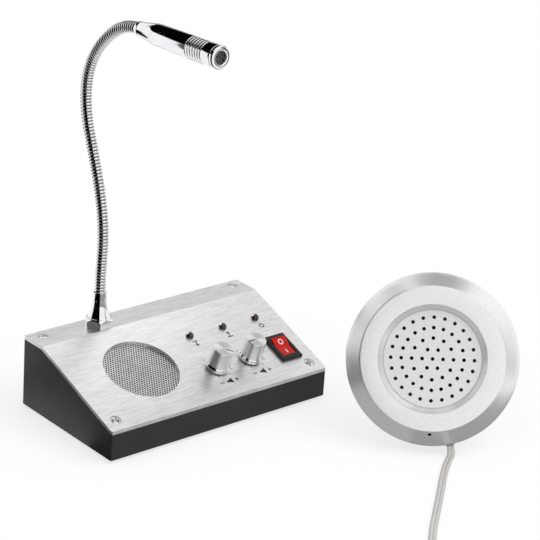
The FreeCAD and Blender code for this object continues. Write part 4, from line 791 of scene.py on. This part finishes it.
dress(grained("solder_mask", "#0f4a26", "#14592f", 0.35, 1.2, 0.03, mottle=250), "main_board")
dress(grained("chip_resin", "#131314", "#1b1b1c", 0.6, 0.3, 0.03), "amplifier_chip")
dress(grained("extruded_aluminium", "#b7b8ba", "#c9cacc", 0.4, 0.4, 0.02, Metallic=1.0), "heat_sink")
dress(grained("capacitor_sleeve", "#141a3c", "#1c2450", 0.3, 0.8, 0.02), "capacitors")
# Both small microphones have a black felt over their can, so their ports look dark.
felt = grained("capsule_felt", "#0a0a0b", "#151516", 0.95, 0.3, 0.05, mottle=900, Specular_IOR_Level=0.1)
dress(felt, "mic_capsule", "outdoor_mic")

# -------- gooseneck
# Chromed collar on a hexagonal foot, and a hose wound from bright steel wire that bends at every turn. The
# hose is cut mid-way between the joints, so each length holds one joint.

plating = []
for name in ("bright_chrome", "chromed_wire"):
    finish, tree, shader = new_finish(name, Metallic=1.0, Roughness=0.09)
    plating.append(finish)
    place = add(tree, "ShaderNodeTexCoord").outputs["Object"]
    haze = add(tree, "ShaderNodeTexNoise", {"Vector": place, "Scale": 140.0, "Detail": 4.0})
    tone = drift(tree, shader, haze.outputs[0], "#ececee", "#f8f8fa")
    smear = add(tree, "ShaderNodeMapRange", {0: haze.outputs[0], 1: 0.3, 2: 0.7, 3: 0.06, 4: 0.14})
    tree.links.new(smear.outputs[0], shader.inputs["Roughness"])
# Between its turns the wire is painted dark as shade, for the shadow deep in the crevices: there the second
# UV coordinate, which is the distance from the hose's middle in mm, is small.
out_map = add(tree, "ShaderNodeUVMap", uv_map="along_and_out")
deep = add(tree, "ShaderNodeSeparateXYZ", {0: out_map.outputs[0]})
unshaded_crown = add(tree, "ShaderNodeMapRange", {0: deep.outputs[1], 1: 3.02, 2: 3.2, 3: 0.0, 4: 1.0})
links = {0: unshaded_crown.outputs[0], 6: shade("#131315"), 7: tone.outputs[0]}
groove_shade_mix = add(tree, "ShaderNodeMix", links, data_type="RGBA")
tree.links.new(groove_shade_mix.outputs[2], shader.inputs["Base Color"])
chrome, chromed_wire = plating

# The foot is a hexagon met by a cone, as on a turned nut; the sleeve above is one long flare.
NECK_X, NECK_Y = -33.7, 33.8
SIDES = 144
CORNER = 8.75
foot_z = np.concatenate([np.linspace(0, 0.5, 4), np.linspace(0.6, 3.6, 8), np.linspace(3.75, 5.0, 14)])
round_by = np.linspace(0, 2 * math.pi, SIDES, endpoint=False)
hexagon = CORNER * math.cos(math.pi / 6) / np.cos((round_by + math.pi / 3) % (math.pi / 3) - math.pi / 6)
cone = np.minimum(CORNER - np.clip((foot_z - 3.7) / 1.3, 0, 1) * 1.15, 8.35 + foot_z)
foot_r = np.minimum(hexagon[None], cone[:, None])
foot_height = np.repeat(foot_z[:, None], SIDES, 1)
foot = np.stack([foot_r * np.cos(round_by), foot_r * np.sin(round_by), foot_height], -1)
# The flare: the radius of its arc, and the sleeve's radius and height at its foot and top.
FLARE, LOW_R, HIGH_R, LOW_Z, HIGH_Z = 34.0, 6.6, 4.35, 5.7, 17.0
rise_z = np.linspace(LOW_Z, HIGH_Z, 22)
bend_in = np.sqrt(np.maximum(FLARE ** 2 - (HIGH_Z - rise_z) ** 2, 0))
whole_bend = FLARE - math.sqrt(FLARE ** 2 - (HIGH_Z - LOW_Z) ** 2)
flare_r = HIGH_R + (FLARE - bend_in) * (LOW_R - HIGH_R) / whole_bend
sleeve = lathe(np.vstack([
    [(6.9, 5.0), (6.95, 5.35), (6.8, 5.62)], np.column_stack([flare_r, rise_z]),
    [(4.0, 20.6), (3.95, 21.1), (3.8, 21.25), (3.55, 21.25), (3.55, 14.0), (0, 14.0)],
]), SIDES)
under = lathe([(0, -8.0), (4.7, -8.0), (4.8, -7.8), (4.8, 0.0)], SIDES)
collar_frame = turned_to((NECK_X, NECK_Y, SHELF_Z))
collar = piece(
    "collar", [net(placed(np.concatenate([under, foot, sleeve]), collar_frame))],
    chrome, "console", smooth=28,
)
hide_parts("neck_collar")

# The hose's middle line: eight equal lengths, each an arc with its own bend.
STEP = 24.6
WIRE = 1.93
bends = np.array([3.7, -15.2, -9.1, -0.3, 23.0, 31.0, 21.4, 32.9])
along = np.arange(0, 8 * STEP + 0.01, 0.05)
tilt = np.radians(np.interp(along, np.arange(9) * STEP, np.concatenate([[0], np.cumsum(bends)])))
middle_tilt = (tilt[1:] + tilt[:-1]) / 2
HOSE_FOOT = 67.0
line_y = NECK_Y + np.concatenate([[0], np.cumsum(-np.sin(middle_tilt) * np.diff(along))])
line_z = HOSE_FOOT + np.concatenate([[0], np.cumsum(np.cos(middle_tilt) * np.diff(along))])


def hose(start, stop):
    """Points of the wound hose between two turns of its wire: each turn is a ring that leans
    by half a pitch, with a round crown 2.55 + 0.95 * sqrt(1 - 4f^2), f from -0.5 to 0.5."""
    f = np.array([-0.5, -0.45, -0.38, -0.28, -0.12, 0.12, 0.28, 0.38, 0.45])
    f = np.append((np.arange(start, stop)[:, None] + 0.5 + f).ravel(), stop)
    a = np.linspace(0, 2 * math.pi, 32, endpoint=False)[None]
    radius = (2.55 + 0.95 * np.sqrt(1 - (2 * (f % 1.0) - 1) ** 2))[:, None]
    s = np.clip((f[:, None] + 0.25 * np.sin(a)) * WIRE, 0, 8 * STEP)
    t = np.interp(s, along, tilt)
    y, z = np.interp(s, along, line_y), np.interp(s, along, line_z)
    return np.stack([
        NECK_X + radius * np.cos(a),
        y + radius * np.sin(a) * np.cos(t),
        z + radius * np.sin(a) * np.sin(t),
    ], -1)


def on_line(s):
    """The point of the hose's middle line at a length along it, in metres."""
    y, z = np.interp(s, along, line_y), np.interp(s, along, line_z)
    return (NECK_X / 1000, float(y) / 1000, float(z) / 1000)


ends = {0: "console", 8: "microphone"}
TURNS = 102
cuts = [0] + [round((k + 0.5) * STEP / WIRE) for k in range(8)] + [TURNS]
coarse_line, coarse_along = np.column_stack([line_y, line_z])[::8], along[::8]
for k in range(9):
    ring_points = hose(cuts[k], cuts[k + 1])
    patches = [net(ring_points), fan(ring_points[0], False), fan(ring_points[-1])]
    own_body = ends.get(k)
    part = piece(f"hose_{k}", patches, chromed_wire, own_body, smooth=60, weld=0.0005)
    spots = spots_of(part)
    gap =((spots[:, None, 1:] - coarse_line[None]) ** 2).sum(-1)
    nearest = gap.argmin(1)
    out = np.hypot(np.sqrt(gap[np.arange(len(spots)), nearest]), spots[:, 0] - NECK_X)
    uv = np.column_stack([coarse_along[nearest], out])
    lay_map(part, "along_and_out", uv[corners_of(part)])
    if own_body is None:
        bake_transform(part)
    if k < 8:
        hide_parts(f"neck_hose_{k + 1}")

# -------- microphone
# A turned and chromed barrel: short tail, long taper, seven grooves and a plain front band,
# closed by a ring with woven wire mesh over the capsule.

MIC_LENGTH, MIC_R, GROOVE_R = 72.0, 6.6, 6.2
GROOVES, GROOVE_PITCH = 7, 2.15
_, hose_end_y, hose_end_z = on_line(8 * STEP)
head_frame = turned_to((NECK_X, hose_end_y * 1000, hose_end_z * 1000), (0, float(np.sum(bends))))
barrel = [
    (3.55, 5.0), (3.55, 0.3), (3.8, 0.0, 0.1), (4.3, 0.15, 0.25), (4.3, 2.2, 0.2), (4.15, 2.35),
    (4.3, 2.6, 0.1), (6.45, 16.2, 1.6), (MIC_R, 18.6, 1.0),
]
groove_start = MIC_LENGTH - 9.8 - (GROOVES - 1) * GROOVE_PITCH - 1.05
for i in range(GROOVES):
    z = groove_start + i * GROOVE_PITCH
    barrel += [(MIC_R, z, 0.06), (GROOVE_R, z + 0.12, 0.05)]
    barrel += [(GROOVE_R, z + 0.88, 0.05), (MIC_R, z + 1.0, 0.06)]
barrel += [(MIC_R, 69.25, 0.12), (6.45, 69.4), (5.4, 69.4), (5.4, 22.0), (0, 22.0)]
mic_body = piece("mic_body", [net(lathe(eased(barrel), 128, head_frame))], chrome, "microphone", smooth=30)
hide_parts("mic_barrel")
nose = [
    (3.8, 69.9), (5.35, 69.9), (5.35, 69.4), (6.45, 69.4, 0.1), (MIC_R, 69.6, 0.12), (MIC_R, 71.3, 0.6),
    (6.0, MIC_LENGTH, 0.5), (4.1, MIC_LENGTH, 0.25), (3.8, 71.7, 0.2), (3.8, 69.9),
]
mic_nose = piece("mic_nose", [net(lathe(eased(nose, 5), 128, head_frame))], chrome, "microphone", smooth=40)
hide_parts("mic_front_ring")

# Woven mesh: two sets of fine wires that pass over and under each other.
wire_pitch, wire_radius, mesh_radius = 1.1, 0.17, 4.9
wires = []
for n in range(-4, 5):
    offset = n * wire_pitch
    half = math.sqrt(mesh_radius ** 2 - offset ** 2)
    s = np.linspace(-half, half, 28)
    swing = 0.13 * np.cos(math.pi * s / wire_pitch) * (1 if n % 2 else -1)
    a = np.linspace(0, 2 * math.pi, 5, endpoint=False)
    for turned_over in (False, True):
        u = np.repeat(s[:, None], 5, 1)
        v = offset + wire_radius * np.cos(a)[None] + 0 * u
        w = 69.75 + (-swing if turned_over else swing)[:, None] + wire_radius * np.sin(a)[None]
        tube = np.stack([v, u, w] if turned_over else [u, v, w], -1)
        wires.append(net(placed(tube, head_frame)))
# Steel wire, drawn coarser than it is so that the weave shows, with some dull spots.
mesh_dark, tree, shader = new_finish("woven_steel_wire", Metallic=0.9, Roughness=0.4)
place = add(tree, "ShaderNodeTexCoord").outputs["Object"]
soot = add(tree, "ShaderNodeTexNoise", {"Vector": place, "Scale": 700.0, "Detail": 2.0})
drift(tree, shader, soot.outputs[0], "#6e6f72", "#a6a7aa")
dull = add(tree, "ShaderNodeMapRange", {0: soot.outputs[0], 1: 0.3, 2: 0.7, 3: 0.3, 4: 0.55})
tree.links.new(dull.outputs[0], shader.inputs["Roughness"])
mic_wires = piece("mic_wire_mesh", wires, mesh_dark, "microphone", smooth=60, weld=0.0001)
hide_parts("mic_mesh")

# -------- round speaking unit
# A pressed cover in matt silver paint: upright rim, wide bevel, flat ring and a well.
# The paint holds fine flakes, so it is softly grainy and changes tone over the bevel.

BEVEL_OUT, BEVEL_DROP = 8.5, 8.0
BEVEL = math.hypot(BEVEL_OUT, BEVEL_DROP)


def down_bevel(down):
    """Radius and height of the bevel's surface at a distance down it."""
    return 42.0 + BEVEL_OUT * down / BEVEL, 21.5 - BEVEL_DROP * down / BEVEL


across_bevel = np.array([11.2, 7.9, 4.4, 3.41, 2.42, 1.43, 0.45])
bevel_rows = np.column_stack(down_bevel(across_bevel))
outer_rows = eased([(48.5, 1.0), (50.5, 1.0, 0.2), (50.5, 13.3, 0.6), (50.15, 13.83)], 4)[:-1]
inner_rows = eased([
    (42.1, 21.4), (41.75, 21.5, 0.3), (31.7, 21.5, 0.08), (31.55, 21.1), (31.35, 21.45, 0.08),
    (28.9, 18.7, 0.4), (28.7, 18.2, 0.2), (28.7, 17.7),
    (30.7, 17.7), (30.7, 19.5), (41.0, 19.5), (48.5, 12.9), (48.5, 1.0),
], 4)[1:]
SEGMENTS = 192
# Column 144 of 192 stands at the bottom, where the port is.
cover_rows = np.vstack([outer_rows, bevel_rows, inner_rows])
cover = lathe(cover_rows, SEGMENTS)
rows, faces = net(cover)
port_columns = range(141, 147)
port_rows = range(len(outer_rows) + 2, len(outer_rows) + 6)
kept = [
    face for i, face in enumerate(faces)
    if not (i // SEGMENTS in port_rows and i % SEGMENTS in port_columns)
]
# The patch round the port: rings that pass from the cut's outline to the hole's circle.
columns = np.arange(port_columns[0], port_columns[-1] + 2) * 2 * math.pi / SEGMENTS
edge = (
    [(c, 4.4) for c in columns] + [(columns[-1], d) for d in (3.41, 2.42, 1.43)]
    + [(c, 0.45) for c in columns[::-1]] + [(columns[0], d) for d in (1.43, 2.42, 3.41)]
)
edge = np.array(edge)
port_angle, port_down, port_out = -math.pi / 2 % (2 * math.pi), 2.33, 43.7
flat = np.column_stack([(edge[:, 0] - port_angle) * port_out, edge[:, 1] - port_down])
bearing = np.arctan2(flat[:, 1], flat[:, 0])


def bevel_point(flat, sink=0.0):
    """A point of the bevel from its place round and down it, sunk along the bevel's normal."""
    turn = port_angle + flat[:, 0] / port_out
    r, z = down_bevel(flat[:, 1] + port_down)
    r, z = r - sink * BEVEL_DROP / BEVEL, z - sink * BEVEL_OUT / BEVEL
    return np.column_stack([r * np.cos(turn), r * np.sin(turn), z])


# The port is a round hole of about 1.1 mm radius with a soft lip.
circle = np.column_stack([np.cos(bearing), np.sin(bearing)])
patch_rings = [bevel_point(flat * (1 - t) + circle * 1.14 * t) for t in (0, 0.35, 0.7, 0.92)]
patch_rings += [bevel_point(circle * r, sink) for r, sink in ((1.12, 0.05), (1.1, 0.3), (1.0, 2.0))]
edge_r, edge_z = down_bevel(edge[:, 1])
patch_rings[0] = np.column_stack([edge_r * np.cos(edge[:, 0]), edge_r * np.sin(edge[:, 0]), edge_z])
patch = np.array(patch_rings)
silver = grained("matt_silver_paint", "#f0f0f2", "#fbfbfc", 0.34, 0.6, 0.02, mottle=900, Metallic=0.8)
cover_piece = piece(
    "window_cover", [(placed(rows, rim_frame), kept), net(placed(patch, rim_frame))], silver, "console",
    smooth=38, weld=0.004,
)
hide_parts("outdoor_cover")
# A black felt disc just under the port keeps dust off the small microphone; it also closes the hole in
# black as painted shade, in place of the shadow down the port.
port_ring = bevel_point(circle * 1.11, 0.2)
piece("port_shade_felt", [fan(placed(port_ring, rim_frame))], felt, "console", outwards=False)

# The plate in the well: punched with rings of round holes and painted a lighter silver.
PUNCH_R, RING_STEP, FACE_R, FACE_Z, BACK_Z = 1.1, 6.05, 28.3, 17.7, 16.5
holes = [(0.0, 0.0)]
for ring, count in ((1, 6), (2, 12), (3, 20), (4, 24)):
    for i in range(count):
        a = 2 * math.pi * i / count
        holes.append((RING_STEP * ring * math.cos(a), RING_STEP * ring * math.sin(a)))
holes = np.array(holes)
punch = np.linspace(0, 2 * math.pi, 20, endpoint=False)
border = lathe([(FACE_R, 0)], 128)[0, :, :2]
loops = [border] + [h + PUNCH_R * np.column_stack([np.cos(punch), np.sin(punch)]) for h in holes]
spots, edges = [], []
for loop in loops:
    start = len(spots)
    spots += [Vector(p) for p in loop]
    edges += [(start + i, start + (i + 1) % len(loop)) for i in range(len(loop))]
found, _, triangles, _, _, _ = delaunay_2d_cdt(spots, edges, [], 0, 1e-6)
found = np.array([tuple(p) for p in found])
triangles = np.array(triangles)
middles = found[triangles].mean(1)
clear = (((middles[:, None] - holes[None]) ** 2).sum(-1) > (PUNCH_R - 0.01) ** 2).all(1)
triangles = triangles[clear]
plate_patches = [
    (placed(np.column_stack([found, np.full(len(found), z)]), rim_frame), sheet.tolist())
    for z, sheet in ((FACE_Z, triangles), (BACK_Z, triangles[:, ::-1]))
]
for loop in loops[1:]:
    wall_points = np.stack([np.column_stack([loop, np.full(len(loop), z)]) for z in (FACE_Z, BACK_Z)])
    plate_patches.append(net(placed(wall_points, rim_frame)))
# Its border steps down under the cover's lip, which leaves a fine dark joint all round.
plate_patches.append(net(lathe([
    (FACE_R, BACK_Z), (30.3, BACK_Z), (30.3, 17.0), (FACE_R, 17.0), (FACE_R, FACE_Z),
], 128, rim_frame)))
pale_silver = grained(
    "pale_silver_paint", "#e9e9ea", "#f8f8f9", 0.38, 0.5, 0.05, mottle=1400, Metallic=0.35,
)
plate = piece("window_plate", plate_patches, pale_silver, "console", weld=0.0005)
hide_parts("outdoor_plate")

# Back cover in grey ABS and the white foam ring that sticks to the glass.
dress(grained("grey_abs", "#5d5f62", "#66686b", 0.5, 0.8, 0.04), "outdoor_back")
dress(grained("white_foam", "#dcdcd8", "#e8e8e4", 0.85, 0.5, 0.1), "adhesive_ring")
